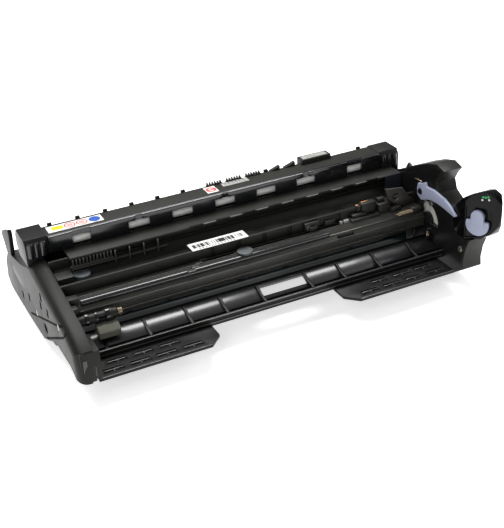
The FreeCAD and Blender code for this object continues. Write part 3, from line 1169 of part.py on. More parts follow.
shapes["bar_top_cover"] = bar_top_cover()
shapes["bar_end_cap_left"] = bar_end_cap(BAR_LEFT_X, CAP_LEFT_X, CAP_LEFT_X, CAP_LEFT_REAR)
shapes["bar_end_cap_right"] = bar_end_cap(CAP_RIGHT_X, BAR_RIGHT_X, CAP_RIGHT_X, CAP_RIGHT_REAR)
shapes["idler_shaft"] = idler_shaft()
shapes["window_rollers"] = window_rollers()
shapes["rear_housing"] = rear_housing()
shapes["left_side_cover"] = left_side_cover()
shapes["contact_plates"] = contact_plates()
shapes["right_side_cover"] = right_side_cover()
shapes["right_front_housing"] = right_front_housing()
shapes["lock_lever"] = lock_lever()
shapes["link_arm"] = link_arm()
shapes["return_wire"] = return_wire()
shapes["pull_spring"] = pull_spring()
shapes["contact_spring"] = contact_spring()
shapes["cover_screws"] = cover_screws()
shapes["round_pads"] = round_pads(shapes["main_frame"])
shapes["flag_bracket"] = flag_bracket()
shapes["film_flap"] = film_flap()
shapes["left_guide_shoe"] = left_guide_shoe()

os.makedirs("parts", exist_ok=True)
for name, shape in shapes.items():
    if not shape.isValid():
        print("not valid:", name)
    shape.translate(CENTRE_SHIFT)
    shape.exportStep("parts/" + name + ".step")
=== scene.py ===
import json
import math

import bmesh
import bpy
from mathutils import Matrix, Vector


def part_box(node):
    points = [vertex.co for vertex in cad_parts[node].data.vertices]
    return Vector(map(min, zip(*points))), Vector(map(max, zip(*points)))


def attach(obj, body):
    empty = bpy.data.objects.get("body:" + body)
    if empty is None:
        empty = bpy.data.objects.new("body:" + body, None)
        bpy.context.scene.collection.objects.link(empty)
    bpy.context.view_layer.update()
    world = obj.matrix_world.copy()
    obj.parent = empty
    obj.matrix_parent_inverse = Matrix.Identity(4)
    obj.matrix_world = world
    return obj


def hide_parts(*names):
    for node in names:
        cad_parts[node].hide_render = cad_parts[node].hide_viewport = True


# Printer drum unit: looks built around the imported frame. Metres, Z up, +X along the drum.

MM = 0.001
MICRON = 0.000001

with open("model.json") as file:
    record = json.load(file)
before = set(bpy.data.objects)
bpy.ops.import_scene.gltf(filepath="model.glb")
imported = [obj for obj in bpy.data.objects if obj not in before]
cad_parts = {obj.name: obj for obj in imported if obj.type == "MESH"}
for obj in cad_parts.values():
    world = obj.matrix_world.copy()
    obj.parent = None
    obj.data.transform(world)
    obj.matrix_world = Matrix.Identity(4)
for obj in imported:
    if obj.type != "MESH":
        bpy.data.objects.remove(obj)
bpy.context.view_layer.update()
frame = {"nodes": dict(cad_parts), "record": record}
record = frame["record"]
slot_of = {part["node"]: part["material_slot"] for part in record["subparts"]}
body_of = {node: body for body, members in record["behaviour"]["bodies"].items() for node in members}


def mm(x, y, z):
    """A point from the part's own millimetres to the frame's metres."""
    return Vector((x * MM, y * MM, z * MM))


class Box:
    """The limits of a node's solid, and the place x, y, z of its middle, in millimetres."""

    def __init__(self, node):
        low, high = ([round(v / MM, 3) for v in corner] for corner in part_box(node))
        self.left, self.front, self.bottom = low
        self.right, self.back, self.top = high
        self.x, self.y, self.z = ((least + most) / 2 for least, most in zip(low, high))


def placed(name, data):
    """A new object in the scene, at the origin."""
    obj = bpy.data.objects.new(name, data)
    bpy.context.scene.collection.objects.link(obj)
    return obj


def facing(direction):
    """The turn that points a form's own Z axis in a direction."""
    return Vector(direction).to_track_quat("Z", "Y").to_matrix().to_4x4()


# Shader maths

class Value:
    """A shader socket that can be used in arithmetic."""

    def __init__(self, shader, socket):
        self.shader = shader
        self.socket = socket

    def math(self, operation, *others):
        node = self.shader.tree.nodes.new("ShaderNodeMath")
        node.operation = operation
        for i, value in enumerate((self, *others)):
            self.shader.plug(node.inputs[i], value)
        return Value(self.shader, node.outputs[0])

    def __add__(self, other):
        return self.math("ADD", other)

    def __sub__(self, other):
        return self.math("SUBTRACT", other)

    def __mul__(self, other):
        return self.math("MULTIPLY", other)

    def below(self, other):
        return self.math("LESS_THAN", other)

    def above(self, other):
        return self.math("GREATER_THAN", other)

    def either(self, other):
        return self.math("MAXIMUM", other)

    def within(self, low, high):
        return self.above(low) * self.below(high)


class Shader:
    """A material built on one Principled surface."""

    COAT_ROUGHNESS = 0.08

    def __init__(self, name, colour, roughness, metallic=0.0, coat=0.0, specular=0.5):
        self.material = bpy.data.materials.new(name)
        self.material.use_nodes = True
        self.tree = self.material.node_tree
        self.surface = self.tree.nodes["Principled BSDF"]
        self.colour(colour)
        self.roughness(roughness)
        self.surface.inputs["Metallic"].default_value = metallic
        self.surface.inputs["Coat Weight"].default_value = coat
        self.surface.inputs["Coat Roughness"].default_value = self.COAT_ROUGHNESS
        self.surface.inputs["Specular IOR Level"].default_value = specular

    def plug(self, target, value):
        """Link a value to a socket, or set the socket to a number or a colour."""
        if isinstance(value, Value):
            self.tree.links.new(value.socket, target)
        elif isinstance(value, tuple):
            target.default_value = (*value, 1.0)
        else:
            target.default_value = value

    def node(self, kind, output=0, settings=(), **inputs):
        node = self.tree.nodes.new(kind)
        for key, value in dict(settings).items():
            setattr(node, key, value)
        for key, value in inputs.items():
            self.plug(node.inputs[key], value)
        return Value(self, node.outputs[output])

    def place(self):
        return self.node("ShaderNodeTexCoord", output="Object")

    def axes(self):
        split = self.tree.nodes.new("ShaderNodeSeparateXYZ")
        self.plug(split.inputs[0], self.place())
        return [Value(self, socket) for socket in split.outputs]

    def noise(self, scale, detail=2.0, roughness=0.5):
        return self.node("ShaderNodeTexNoise", Vector=self.place(), Scale=scale, Detail=detail,
                         Roughness=roughness)

    def mix(self, factor, a, b):
        """One colour or the other; the node's colour sockets are 6 and 7, and its colour result is 2."""
        node = self.tree.nodes.new("ShaderNodeMix")
        node.data_type = "RGBA"
        self.plug(node.inputs[0], factor)
        self.plug(node.inputs[6], a)
        self.plug(node.inputs[7], b)
        return Value(self, node.outputs[2])

    def disc(self, x, y, disc):
        """One inside a circle of the X-Y plane: its centre's X and Y and its radius, in millimetres."""
        centre_x, centre_y, radius = (v * MM for v in disc)
        across = (x - centre_x) * (x - centre_x)
        along = (y - centre_y) * (y - centre_y)
        return (across + along).below(radius ** 2)

    def field(self, x, y, box):
        """One inside a rectangle of the X-Y plane, given by its limits in millimetres."""
        x0, x1, y0, y1 = (v * MM for v in box)
        return x.within(x0, x1) * y.within(y0, y1)

    def bump(self, height, distance):
        bump = self.node("ShaderNodeBump", Height=height, Distance=distance, Strength=1.0)
        self.tree.links.new(bump.socket, self.surface.inputs["Normal"])

    def colour(self, value):
        self.plug(self.surface.inputs["Base Color"], value)

    def roughness(self, value):
        self.plug(self.surface.inputs["Roughness"], value)


# Finishes: the scales are noise scales per metre, and every grain is a depth in micrometres

SHEEN_SCALE = 18.0
GRAIN_SCALE = 2600.0
METAL_SCALE = 900.0
SHADED = 0.86


def tinted(colour, factor):
    return tuple(min(1.0, channel * factor) for channel in colour)


def plastic(name, colour, roughness, grain, coat=0.0, specular=0.5):
    """Moulded plastic: a fine spark grain and a slow change of sheen."""
    s = Shader(name, colour, roughness, coat=coat, specular=specular)
    slow = s.noise(SHEEN_SCALE, detail=3.0)
    s.colour(s.mix(slow, tinted(colour, SHADED), colour))
    s.roughness(slow * 0.10 + (roughness - 0.05))
    s.bump(s.noise(GRAIN_SCALE, detail=1.0), grain * MICRON)
    return s.material


def metal(name, colour, roughness, grain):
    """Metal with a fine grain that also changes its sheen."""
    s = Shader(name, colour, roughness, metallic=1.0)
    fine = s.noise(METAL_SCALE, detail=2.0)
    s.roughness(fine * 0.12 + (roughness - 0.06))
    s.bump(fine, grain * MICRON)
    return s.material


def soft(name, colour, roughness, scale, grain):
    """Rubber or foam with cells; painted shade makes them darker where deeper and lighter where they stand
    higher.
    """
    s = Shader(name, colour, roughness, specular=0.3)
    cells = s.noise(scale, detail=4.0, roughness=0.7)
    s.colour(s.mix(cells, tinted(colour, 0.6), tinted(colour, 1.25)))
    s.bump(cells, grain * MICRON)
    return s.material


def coated_drum(name):
    """The drum's smooth coating, a little uneven, with faint rings round it."""
    dark, light = (0.0035, 0.0065, 0.0075), (0.0050, 0.0095, 0.0105)
    roughness, ring_waves, ring_depth = 0.16, 900.0, 0.01
    s = Shader(name, dark, roughness, specular=0.35)
    x, _, _ = s.axes()
    s.colour(s.mix(s.noise(60.0, detail=1.0), dark, light))
    s.roughness((x * ring_waves).math("SINE") * ring_depth + roughness)
    return s.material


# Slanted panel in the left cover's outer face

# Millimetres. Each long edge passes a point (Y, Z), falls by so much per millimetre on Y, and ends on Y.
PANEL_FACE_X = -153.5
PANEL_FRONT_Y = -60.0
UPPER_POINT = (-59.4, 50.25)
UPPER_FALL = 0.414
UPPER_END_Y = 36.0
LOWER_POINT = (-60.4, 43.3)
LOWER_FALL = 0.567
LOWER_END_Y = -6.0
GROOVE_HALF = 1.0
# Outer limit of the band above the upper groove that is painted lighter as a highlight
PAINTED_HIGHLIGHT_EDGE = 1.9
FRONT_GROOVE = 2.0


def cover_with_panel(name, colour):
    """The left cover: moulded plastic; the slanted panel's grooves are darkened as painted shade, with a
    painted highlight above.
    """
    roughness = 0.46
    s = Shader(name, colour, roughness, specular=0.18)
    x, y, z = s.axes()
    outer = x.below(PANEL_FACE_X * MM)
    upper = z + (y - UPPER_POINT[0] * MM) * UPPER_FALL - UPPER_POINT[1] * MM
    lower = z + (y - LOWER_POINT[0] * MM) * LOWER_FALL - LOWER_POINT[1] * MM
    half = GROOVE_HALF * MM
    front = PANEL_FRONT_Y * MM
    along_upper = y.within(front, UPPER_END_Y * MM)
    along_lower = y.within(front, LOWER_END_Y * MM)
    along_front = y.within(front - FRONT_GROOVE * MM, front)
    grooves = upper.within(-half, half) * along_upper
    grooves = grooves.either(lower.within(-half, half) * along_lower)
    grooves = grooves.either(along_front * lower.above(0.0) * upper.below(0.0)) * outer
    # Painted highlight: the band just above the upper groove is lightened 2.6 times
    edge = upper.within(half, PAINTED_HIGHLIGHT_EDGE * MM) * along_upper * outer
    slow = s.mix(s.noise(SHEEN_SCALE, detail=3.0), tinted(colour, SHADED), colour)
    highlighted = s.mix(edge, slow, tinted(colour, 2.6))
    # Painted shade: the grooves are darkened to a tenth of the colour
    s.colour(s.mix(grooves, highlighted, tinted(colour, 0.10)))
    s.roughness(grooves * 0.5 + roughness)
    s.bump(s.noise(GRAIN_SCALE, detail=1.0) * 0.1 - grooves, 400.0 * MICRON)
    return s.material


MATERIALS = {
    "housing_black": plastic("housing_black", (0.0120, 0.0116, 0.0094), 0.46, 40, specular=0.28),
    "gloss_black": plastic("gloss_black", (0.0065, 0.0070, 0.0085), 0.17, 4, coat=0.25),
    "drum_coat": coated_drum("drum_coat"),
    "white_plastic": plastic("white_plastic", (0.78, 0.78, 0.73), 0.38, 10),
    "steel": metal("steel", (0.55, 0.55, 0.56), 0.26, 4),
    "spring_gold": metal("spring_gold", (0.46, 0.37, 0.25), 0.34, 4),
    "soft_black": soft("soft_black", (0.022, 0.022, 0.024), 0.70, 700.0, 30),
    "blade_clear": plastic("blade_clear", (0.030, 0.025, 0.016), 0.30, 4),
    "foam": soft("foam", (0.135, 0.135, 0.108), 0.95, 900.0, 350),
    "lavender": plastic("lavender", (0.37, 0.40, 0.53), 0.38, 10),
    "grey_blue": plastic("grey_blue", (0.055, 0.064, 0.068), 0.48, 20),
    "film": plastic("film", (0.022, 0.026, 0.036), 0.30, 4),
    "bronze_bush": plastic("bronze_bush", (0.02, 0.02, 0.02), 0.42, 10),
    "light_pipe": plastic("light_pipe", (0.018, 0.018, 0.018), 0.20, 4, coat=0.5),
    "zinc_plate": metal("zinc_plate", (0.55, 0.47, 0.30), 0.34, 6),
    "bracket_brown": plastic("bracket_brown", (0.030, 0.026, 0.021), 0.50, 20),
    "screw_steel": metal("screw_steel", (0.36, 0.35, 0.31), 0.32, 4),
}

# Finishes of single pieces that differ from their slot's usual one
CAP_SATIN = plastic("cap_satin", (0.0100, 0.0100, 0.0095), 0.40, 20, specular=0.22)
# Painted shade: the drum's white flanges are given a dark grey because they lie in shade
FLANGE_PAINTED_SHADE = plastic("flange_painted_shade", (0.035, 0.035, 0.033), 0.45, 10)
OWN_FINISH = {
    "blade_bracket": plastic("bracket_dark", (0.010, 0.010, 0.009), 0.45, 10),
    "drum_drive_flange": FLANGE_PAINTED_SHADE,
    "drum_hub_flange": FLANGE_PAINTED_SHADE,
    "bar_top_cover": plastic("bar_olive", (0.0165, 0.0160, 0.0130), 0.50, 40, specular=0.18),
    "bar_end_cap_left": CAP_SATIN,
    "bar_end_cap_right": CAP_SATIN,
    "right_front_housing": plastic("nose_gloss", (0.0028, 0.0028, 0.0030), 0.14, 6, specular=0.14),
    "front_guide_beam": plastic("beam_black", (0.0048, 0.0048, 0.0045), 0.40, 20, specular=0.16),
    "right_end_plate": plastic("plate_black", (0.0055, 0.0055, 0.0055), 0.36, 20, specular=0.30),
    "left_side_cover": cover_with_panel("cover_olive", (0.0112, 0.0108, 0.0088)),
    "cleaner_casing": plastic("casing_satin", (0.0330, 0.0320, 0.0270), 0.36, 20, specular=0.40),
    "window_rollers": plastic("roller_white", (0.93, 0.92, 0.88), 0.40, 10),
    "lower_guide_plate": plastic("guide_gloss", (0.0050, 0.0050, 0.0055), 0.30, 4, coat=0.25,
                                 specular=0.9),
}

# Finishes of small details, brighter than their moulding: the first four as painted highlights
RIB_PAINTED_HIGHLIGHT = plastic("rib_painted_highlight", (0.075, 0.075, 0.070), 0.28, 10, coat=0.4)
LINE_PAINTED_HIGHLIGHT = plastic("line_painted_highlight", (0.052, 0.052, 0.048), 0.26, 10, coat=0.5, specular=0.4)
LIP_PAINTED_GLINT = plastic("lip_painted_glint", (0.22, 0.22, 0.21), 0.28, 10, coat=0.3)
# The shoulder's lighter base colour is a painted highlight, on top of the real gloss of its coat
SHOULDER_PAINTED_HIGHLIGHT = plastic("shoulder_gloss_painted_highlight", (0.075, 0.078, 0.084), 0.12, 3, coat=0.8)
GREEN = plastic("green_field", (0.02, 0.30, 0.08), 0.40, 4)
COPPER = metal("copper_strip", (0.62, 0.30, 0.16), 0.35, 4)


# Meshes and pieces

FLAT_DEGREES = 1
SHARP_DEGREES = 32
PRISM_DEGREES = 45
WIRE_DEGREES = 80


def shade(mesh, degrees=SHARP_DEGREES):
    """Smooth shading with sharp edges kept where faces meet at more than an angle."""
    mesh.shade_smooth()
    mesh.set_sharp_from_angle(angle=math.radians(degrees))


def round_edges(work, edges, width):
    """Round some edges of a mesh that is being built; the width is in millimetres."""
    bmesh.ops.bevel(work, geom=edges, offset=width * MM, offset_type="OFFSET", segments=2, profile=0.6,
                    affect="EDGES", clamp_overlap=True)


def finished(work, name, degrees=SHARP_DEGREES):
    """The mesh of a work in progress, shaded."""
    mesh = bpy.data.meshes.new(name)
    work.to_mesh(mesh)
    work.free()
    shade(mesh, degrees)
    return mesh


def mesh_from_node(node, edge):
    """The node's solid with flat triangles joined and its sharp edges rounded."""
    work = bmesh.new()
    work.from_mesh(frame["nodes"][node].data)
    bmesh.ops.remove_doubles(work, verts=work.verts, dist=MICRON)
    bmesh.ops.dissolve_limit(work, angle_limit=math.radians(FLAT_DEGREES), verts=work.verts,
                             edges=work.edges)
    shared = [e for e in work.edges if len(e.link_faces) == 2]
    sharp = [e for e in shared if e.calc_face_angle(0.0) > math.radians(SHARP_DEGREES)]
    round_edges(work, sharp, edge)
    bmesh.ops.triangulate(work, faces=[f for f in work.faces if len(f.verts) > 4])
    return finished(work, node + "_look")


def add_piece(name, mesh, material, body, slot, replaces=()):
    """Put a mesh into the scene on its body, with one material."""
    mesh.materials.clear()
    mesh.materials.append(material)
    obj = placed(name, mesh)
    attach(obj, body)
    if replaces:
        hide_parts(*replaces)


# Pieces made from the frame's solids, with softened edges in millimetres

EDGE = {
    "window_guide": 0.5, "bar_top_cover": 0.35, "bar_end_cap_left": 1.0, "bar_end_cap_right": 1.0,
    "left_side_cover": 0.8, "right_side_cover": 0.6, "right_front_housing": 1.4, "rear_housing": 1.2,
    "main_frame": 0.35, "front_guide_beam": 0.25, "lock_lever": 0.5, "link_arm": 0.5, "foam_pad": 0.6,
}
DEFAULT_EDGE = 0.18
AS_THEY_ARE = ("opc_drum", "charge_roller", "waste_auger", "film_flap", "contact_plates")
GROWN = ("pull_spring", "contact_spring", "pipe_spring", "charge_roller_springs", "cover_screws")

for node, obj in frame["nodes"].items():
    slot = slot_of[node]
    obj.data.materials.clear()
    obj.data.materials.append(MATERIALS[slot])
    if node in AS_THEY_ARE + GROWN:
        continue
    look = mesh_from_node(node, EDGE.get(node, DEFAULT_EDGE))
    finish = OWN_FINISH.get(node, MATERIALS[slot])
    add_piece(node + "_piece", look, finish, body_of[node], slot, replaces=(node,))


# Small solids

def blocks(name, boxes, edge=0.2):
    """One mesh of rounded blocks, each given by its limits in millimetres: x0, x1, y0, y1, z0, z1."""
    work = bmesh.new()
    for x0, x1, y0, y1, z0, z1 in boxes:
        centre = mm((x0 + x1) / 2, (y0 + y1) / 2, (z0 + z1) / 2)
        size = mm(x1 - x0, y1 - y0, z1 - z0)
        spread = Matrix.Translation(centre) @ Matrix.Diagonal((*size, 1.0))
        made = bmesh.ops.create_cube(work, size=1.0, matrix=spread)
        round_edges(work, list(dict.fromkeys(e for v in made["verts"] for e in v.link_edges)), edge)
    return finished(work, name)


def prisms(name, outline, spans):
    """One mesh of solids with an outline of (y, z) points, each between two places on X."""
    work = bmesh.new()
    for x0, x1 in spans:
        left, right = ([work.verts.new(mm(x, y, z)) for y, z in outline] for x in (x0, x1))
        work.faces.new(left)
        work.faces.new(right[::-1])
        for i in range(len(outline)):
            k = (i + 1) % len(outline)
            work.faces.new((left[k], left[i], right[i], right[k]))
    bmesh.ops.recalc_face_normals(work, faces=work.faces)
    return finished(work, name, PRISM_DEGREES)


def turned(name, profile, place, axis, steps):
    """A closed profile of (radius, height) points turned about an axis through a place.

    A third number on a point gives its ring four lobes, as in a cross recess.
    """
    work = bmesh.new()
    rings = []
    for radius, height, *lobes in profile:
        ring = []
        for i in range(steps if radius > 0 else 1):
            angle = 2 * math.pi * i / steps
            r = radius * (1 + sum(lobes) * math.cos(4 * angle))
            ring.append(work.verts.new(mm(r * math.cos(angle), r * math.sin(angle), height)))
        rings.append(ring)
    for low, high in zip(rings, rings[1:]):
        for i in range(steps):
            j = (i + 1) % steps
            corners = [low[i % len(low)], low[j % len(low)], high[j % len(high)], high[i % len(high)]]
            work.faces.new(list(dict.fromkeys(corners)))
    bmesh.ops.remove_doubles(work, verts=work.verts, dist=0.1 * MICRON)
    bmesh.ops.recalc_face_normals(work, faces=work.faces)
    work.transform(Matrix.Translation(mm(*place)) @ facing(axis))
    return finished(work, name)


def centred(name, size, edge=0.1):
    """A rounded block with its middle at the origin, to be repeated in a row."""
    x, y, z = (v / 2 for v in size)
    return blocks(name, [(-x, x, -y, y, -z, z)], edge)


def joined(name, meshes):
    work = bmesh.new()
    for mesh in meshes:
        work.from_mesh(mesh)
    return finished(work, name)


def detail(name, mesh, slot="housing_black", finish=None, replaces=()):
    """A small piece on the frame, in its slot's usual finish unless another is given."""
    add_piece(name, mesh, finish or MATERIALS[slot], "base", slot, replaces)


# Repeated forms, grown with Geometry Nodes

class Growth:
    """A Geometry Nodes tree with named inputs."""

    def __init__(self, name, inputs):
        self.tree = bpy.data.node_groups.new(name, "GeometryNodeTree")
        add_socket = self.tree.interface.new_socket
        add_socket(name="Geometry", in_out="OUTPUT", socket_type="NodeSocketGeometry")
        self.identifiers = {}
        for label, kind in inputs.items():
            socket = add_socket(name=label, in_out="INPUT", socket_type="NodeSocket" + kind)
            self.identifiers[label] = socket.identifier
        self.source = self.tree.nodes.new("NodeGroupInput")
        self.result = self.tree.nodes.new("NodeGroupOutput")

    def given(self, label):
        return self.source.outputs[label]

    def node(self, kind, output=0, settings=(), **inputs):
        node = self.tree.nodes.new(kind)
        for key, value in dict(settings).items():
            setattr(node, key, value)
        for key, value in inputs.items():
            target = node.inputs[key.replace("_", " ")]
            if isinstance(value, bpy.types.NodeSocket):
                self.tree.links.new(value, target)
            else:
                target.default_value = value
        return node.outputs[output]

    def finish(self, geometry, material):
        painted = self.node("GeometryNodeSetMaterial", Geometry=geometry, Material=material)
        self.tree.links.new(painted, self.result.inputs[0])

    def grow(self, name, **values):
        """The tree's result as a plain mesh."""
        holder = placed(name, bpy.data.meshes.new(name + "_seed"))
        modifier = holder.modifiers.new("growth", "NODES")
        modifier.node_group = self.tree
        for label, value in values.items():
            modifier[self.identifiers[label]] = value
        bpy.context.view_layer.update()
        graph = bpy.context.evaluated_depsgraph_get()
        mesh = bpy.data.meshes.new_from_object(holder.evaluated_get(graph), depsgraph=graph)
        holder.modifiers.remove(modifier)
        bpy.data.objects.remove(holder)
        mesh.name = name
        return mesh


def row_growth():
    """Copies of one object in a row, each scaled a little by chance."""
    g = Growth("row", {"Source": "Object", "Count": "Int", "Step": "Vector", "Least": "Vector",
                       "Most": "Vector", "Seed": "Int", "Material": "Material"})
    line = g.node("GeometryNodeMeshLine", Count=g.given("Count"), Offset=g.given("Step"))
    scale = g.node("FunctionNodeRandomValue", settings={"data_type": "FLOAT_VECTOR"},
                   Min=g.given("Least"), Max=g.given("Most"), Seed=g.given("Seed"))
    form = g.node("GeometryNodeObjectInfo", output="Geometry", Object=g.given("Source"))
    copies = g.node("GeometryNodeInstanceOnPoints", Points=line, Instance=form, Scale=scale)
    g.finish(g.node("GeometryNodeRealizeInstances", Geometry=copies), g.given("Material"))
    return g


def coil_growth():
    """A round wire wound about the Z axis."""
    g = Growth("coil", {"Turns": "Float", "Radius": "Float", "Wire": "Float", "Height": "Float",
                        "Steps": "Int", "Sides": "Int", "Material": "Material"})
    path = g.node("GeometryNodeCurveSpiral", Resolution=g.given("Steps"), Rotations=g.given("Turns"),
                  Start_Radius=g.given("Radius"), End_Radius=g.given("Radius"), Height=g.given("Height"))
    wire = g.node("GeometryNodeCurvePrimitiveCircle", Resolution=g.given("Sides"), Radius=g.given("Wire"))
    swept = g.node("GeometryNodeCurveToMesh", Curve=path, Profile_Curve=wire, Fill_Caps=True)
    g.finish(swept, g.given("Material"))
    return g


ROW = row_growth()
COIL = coil_growth()
ROW_SEED = 4
STEPS_PER_TURN = 12
WIRE_SIDES = 8
ALIKE = (1.0, 1.0, 1.0)


def row(name, source, place, count, step, material, least=ALIKE, most=ALIKE):
    """A row of copies of a mesh that is centred on its own origin."""
    holder = placed(name + "_one", source)
    mesh = ROW.grow(name, Source=holder, Count=count, Step=list(mm(*step)), Least=list(least),
                    Most=list(most), Seed=ROW_SEED, Material=material)
    bpy.data.objects.remove(holder)
    mesh.transform(Matrix.Translation(mm(*place)))
    shade(mesh)
    return mesh


def coil(name, start, direction, length, radius, wire, turns):
    """A wound wire from a place, in a direction; the wire is given by its radius."""
    mesh = COIL.grow(name, Turns=float(turns), Radius=radius * MM, Wire=wire * MM, Height=length * MM,
                     Steps=STEPS_PER_TURN, Sides=WIRE_SIDES, Material=MATERIALS["spring_gold"])
    mesh.transform(Matrix.Translation(mm(*start)) @ facing(direction))
    shade(mesh, WIRE_DEGREES)
    return mesh


# Springs of round wire: each takes the place of a node, and the pull spring has a tail at each end

ALONG_X = (1, 0, 0)
UPRIGHT = (0, 0, 1)
PULL_WIRE = 0.40
CONTACT_WIRE = 0.25
PIPE_WIRE = 0.35
CHARGE_WIRE = 0.30

PULL = Box("pull_spring")
CONTACT = Box("contact_spring")
PIPE_SPRING = Box("pipe_spring")
CHARGE = Box("charge_roller_springs")


def spring(node, mesh):
    """Put a spring's mesh in place of its node."""
    detail(node + "_piece", mesh, "spring_gold", replaces=(node,))


tails = [(x0, x1, PULL.y - PULL_WIRE, PULL.y + PULL_WIRE, PULL.z - PULL_WIRE, PULL.z + PULL_WIRE)
         for x0, x1 in ((PULL.left, PULL.left + 3.0), (PULL.right - 2.8, PULL.right))]
pull_start, pull_end = PULL.left + 2.6, PULL.right - 2.4
wound = coil("wound", (pull_start, PULL.y, PULL.z), ALONG_X, length=pull_end - pull_start, radius=1.18,
             wire=PULL_WIRE, turns=19)
spring("pull_spring", joined("pull_spring_piece", [blocks("tail", tails, 0.35), wound]))

contact_start, contact_end = CONTACT.bottom + CONTACT_WIRE, CONTACT.top - CONTACT_WIRE
contact = coil("contact_spring_piece", (CONTACT.x, CONTACT.y, contact_start), UPRIGHT,
               length=contact_end - contact_start, radius=1.2, wire=CONTACT_WIRE, turns=4.5)
spring("contact_spring", contact)

pipe_start, pipe_end = PIPE_SPRING.left + PIPE_WIRE, PIPE_SPRING.right - PIPE_WIRE
round_pipe = coil("pipe_spring_piece", (pipe_start, PIPE_SPRING.y, PIPE_SPRING.z), ALONG_X,
                  length=pipe_end - pipe_start, radius=2.3, wire=PIPE_WIRE, turns=3)
spring("pipe_spring", round_pipe)

feet = [(x, CHARGE.y, CHARGE.bottom + 0.332) for x in (CHARGE.left + 2.0, CHARGE.right - 2.0)]
charge = [coil("charge", foot, UPRIGHT, length=3.1, radius=1.7, wire=CHARGE_WIRE, turns=3.5)
          for foot in feet]
spring("charge_roller_springs", joined("charge_roller_springs_piece", charge))


# Labels: plain fields of colour, each sunk a little into what it lies on

WHITE = (0.80, 0.80, 0.78)
PALE_GREY = (0.42, 0.42, 0.40)
DULL_GREY = (0.36, 0.36, 0.34)
GREY = (0.22, 0.22, 0.22)
INK = (0.02, 0.02, 0.02)
RED = (0.62, 0.07, 0.05)
FADED_RED = (0.60, 0.35, 0.33)
BLUE = (0.03, 0.10, 0.42)
YELLOW = (0.80, 0.55, 0.02)

BAR = Box("window_guide")
COVER_TOP = BAR.top - 0.05
RIDGE_TOP = Box("bar_top_cover").top - 0.10
LEDGE = (-47.2, -2.6, -16.95, -5.6, 53.4, 54.58)
LEDGE_TOP = LEDGE[-1] - 0.03

# The bar label's strokes and dashes: the field they fill, how many there are, the least value that shows
STROKES = (-44.5, -5.5, -14.0, -8.6)
STROKES_PER_METRE = 1900.0
STROKE_LEAST = 0.30
DASHES = (-43.0, -12.0, -16.0, -15.0)
DASH_WAVES = 2600.0
DASH_LEAST = -0.35


def paper(name, ground):
    """The satin sheet that every label is printed on."""
    return Shader(name, ground, 0.35, specular=0.3)


def printed(name, marks, ground=WHITE):
    """A plain field with marks: a box has four numbers, and a disc its centre and radius."""
    s = paper(name, ground)
    x, y, _ = s.axes()
    colour = ground
    for shape, tint in marks:
        inside = s.field(x, y, shape) if len(shape) == 4 else s.disc(x, y, shape)
        colour = s.mix(inside, colour, tint)
    s.colour(colour)
    return s.material


def strokes(name):
    """Dark strokes placed by a noise value, with a row of dashes in front of them."""
    s = paper(name, WHITE)
    x, y, _ = s.axes()
    chance = s.node("ShaderNodeTexWhiteNoise", settings={"noise_dimensions": "1D"},
                    W=(x * STROKES_PER_METRE).math("FLOOR"))
    bars = chance.above(STROKE_LEAST) * s.field(x, y, STROKES)
    dashes = (x * DASH_WAVES).math("SINE").above(DASH_LEAST) * s.field(x, y, DASHES)
    s.colour(s.mix(bars.either(dashes), WHITE, INK))
    return s.material


def label(name, field, bottom, thick, material):
    """A thin plate over a rectangle of the X-Y plane."""
    detail(name, blocks(name, [(*field, bottom, bottom + thick)], 0.05), "film", material)


MARKS_Y = 26.6
marks = [((-132.6, -124.6, 23.8, 29.4), YELLOW), ((-101.6, MARKS_Y, 4.1), BLUE)]
for x in (-119.6, -110.8):
    marks += [((x, MARKS_Y, 4.1), RED), ((x, MARKS_Y, 3.1), WHITE), ((x, MARKS_Y, 2.2), FADED_RED)]
label("field_label", (-136.0, -96.0, 21.6, 31.4), COVER_TOP, 0.23, printed("field_label_print", marks))

dot = [((-11.8, MARKS_Y, 3.9), RED), ((-11.8, MARKS_Y, 2.4), WHITE), ((-14.4, -9.2, 25.7, 27.5), RED)]
label("dot_label", (-16.2, -7.4, 21.4, 31.8), COVER_TOP, 0.23, printed("dot_label_print", dot))

STRIPE_PITCH = 2.9
stripes = [((0.4 + STRIPE_PITCH * i, 2.6 + STRIPE_PITCH * i, 29.0, 32.6), GREY) for i in range(6)]
stripes.append(((-0.6, 18.6, 27.3, 28.2), GREY))
striped = printed("stripe_print", stripes, PALE_GREY)
label("stripe_label", (-1.6, 19.6, 26.6, 33.8), COVER_TOP, 0.19, striped)

lines = [((71.0, 80.0, 33.2, 34.0), GREY), ((71.0, 77.0, 35.0, 35.7), GREY)]
label("box_label", (68.0, 89.0, 31.6, 37.4), RIDGE_TOP, 0.22, printed("box_print", lines, DULL_GREY))

label("bar_label", (-46.6, -3.2, -16.9, -6.0), LEDGE_TOP, 0.30, strokes("bar_field"))
detail("label_ledge", blocks("label_ledge", [LEDGE], 0.3))


# Rack and ribs under the shelf's left end, and the lips above the bay, all lighter in colour as painted
# highlights

fin = centred("fin", (0.9, 2.6, 5.2))
fins = row("rack", fin, (-127.0, 4.0, 59.0), 12, (2.5, 0, 0), RIB_PAINTED_HIGHLIGHT, least=(0.9, 1.0, 0.9),
           most=(1.1, 1.0, 1.0))
detail("rack", fins, finish=RIB_PAINTED_HIGHLIGHT)
bars = [(-128.5, -98.0, 2.6, 5.4, 55.4, 56.4), (-128.0, -58.0, 1.8, 3.0, 54.2, 55.0)]
detail("rack_rail", blocks("rack_rail", bars), finish=RIB_PAINTED_HIGHLIGHT)
tall = centred("tall", (0.8, 1.0, 9.6))
ribs = row("shelf_ribs", tall, (-97.1, 1.2, 57.0), 4, (10.57, 0, 0), RIB_PAINTED_HIGHLIGHT)
detail("shelf_ribs", ribs, finish=RIB_PAINTED_HIGHLIGHT)
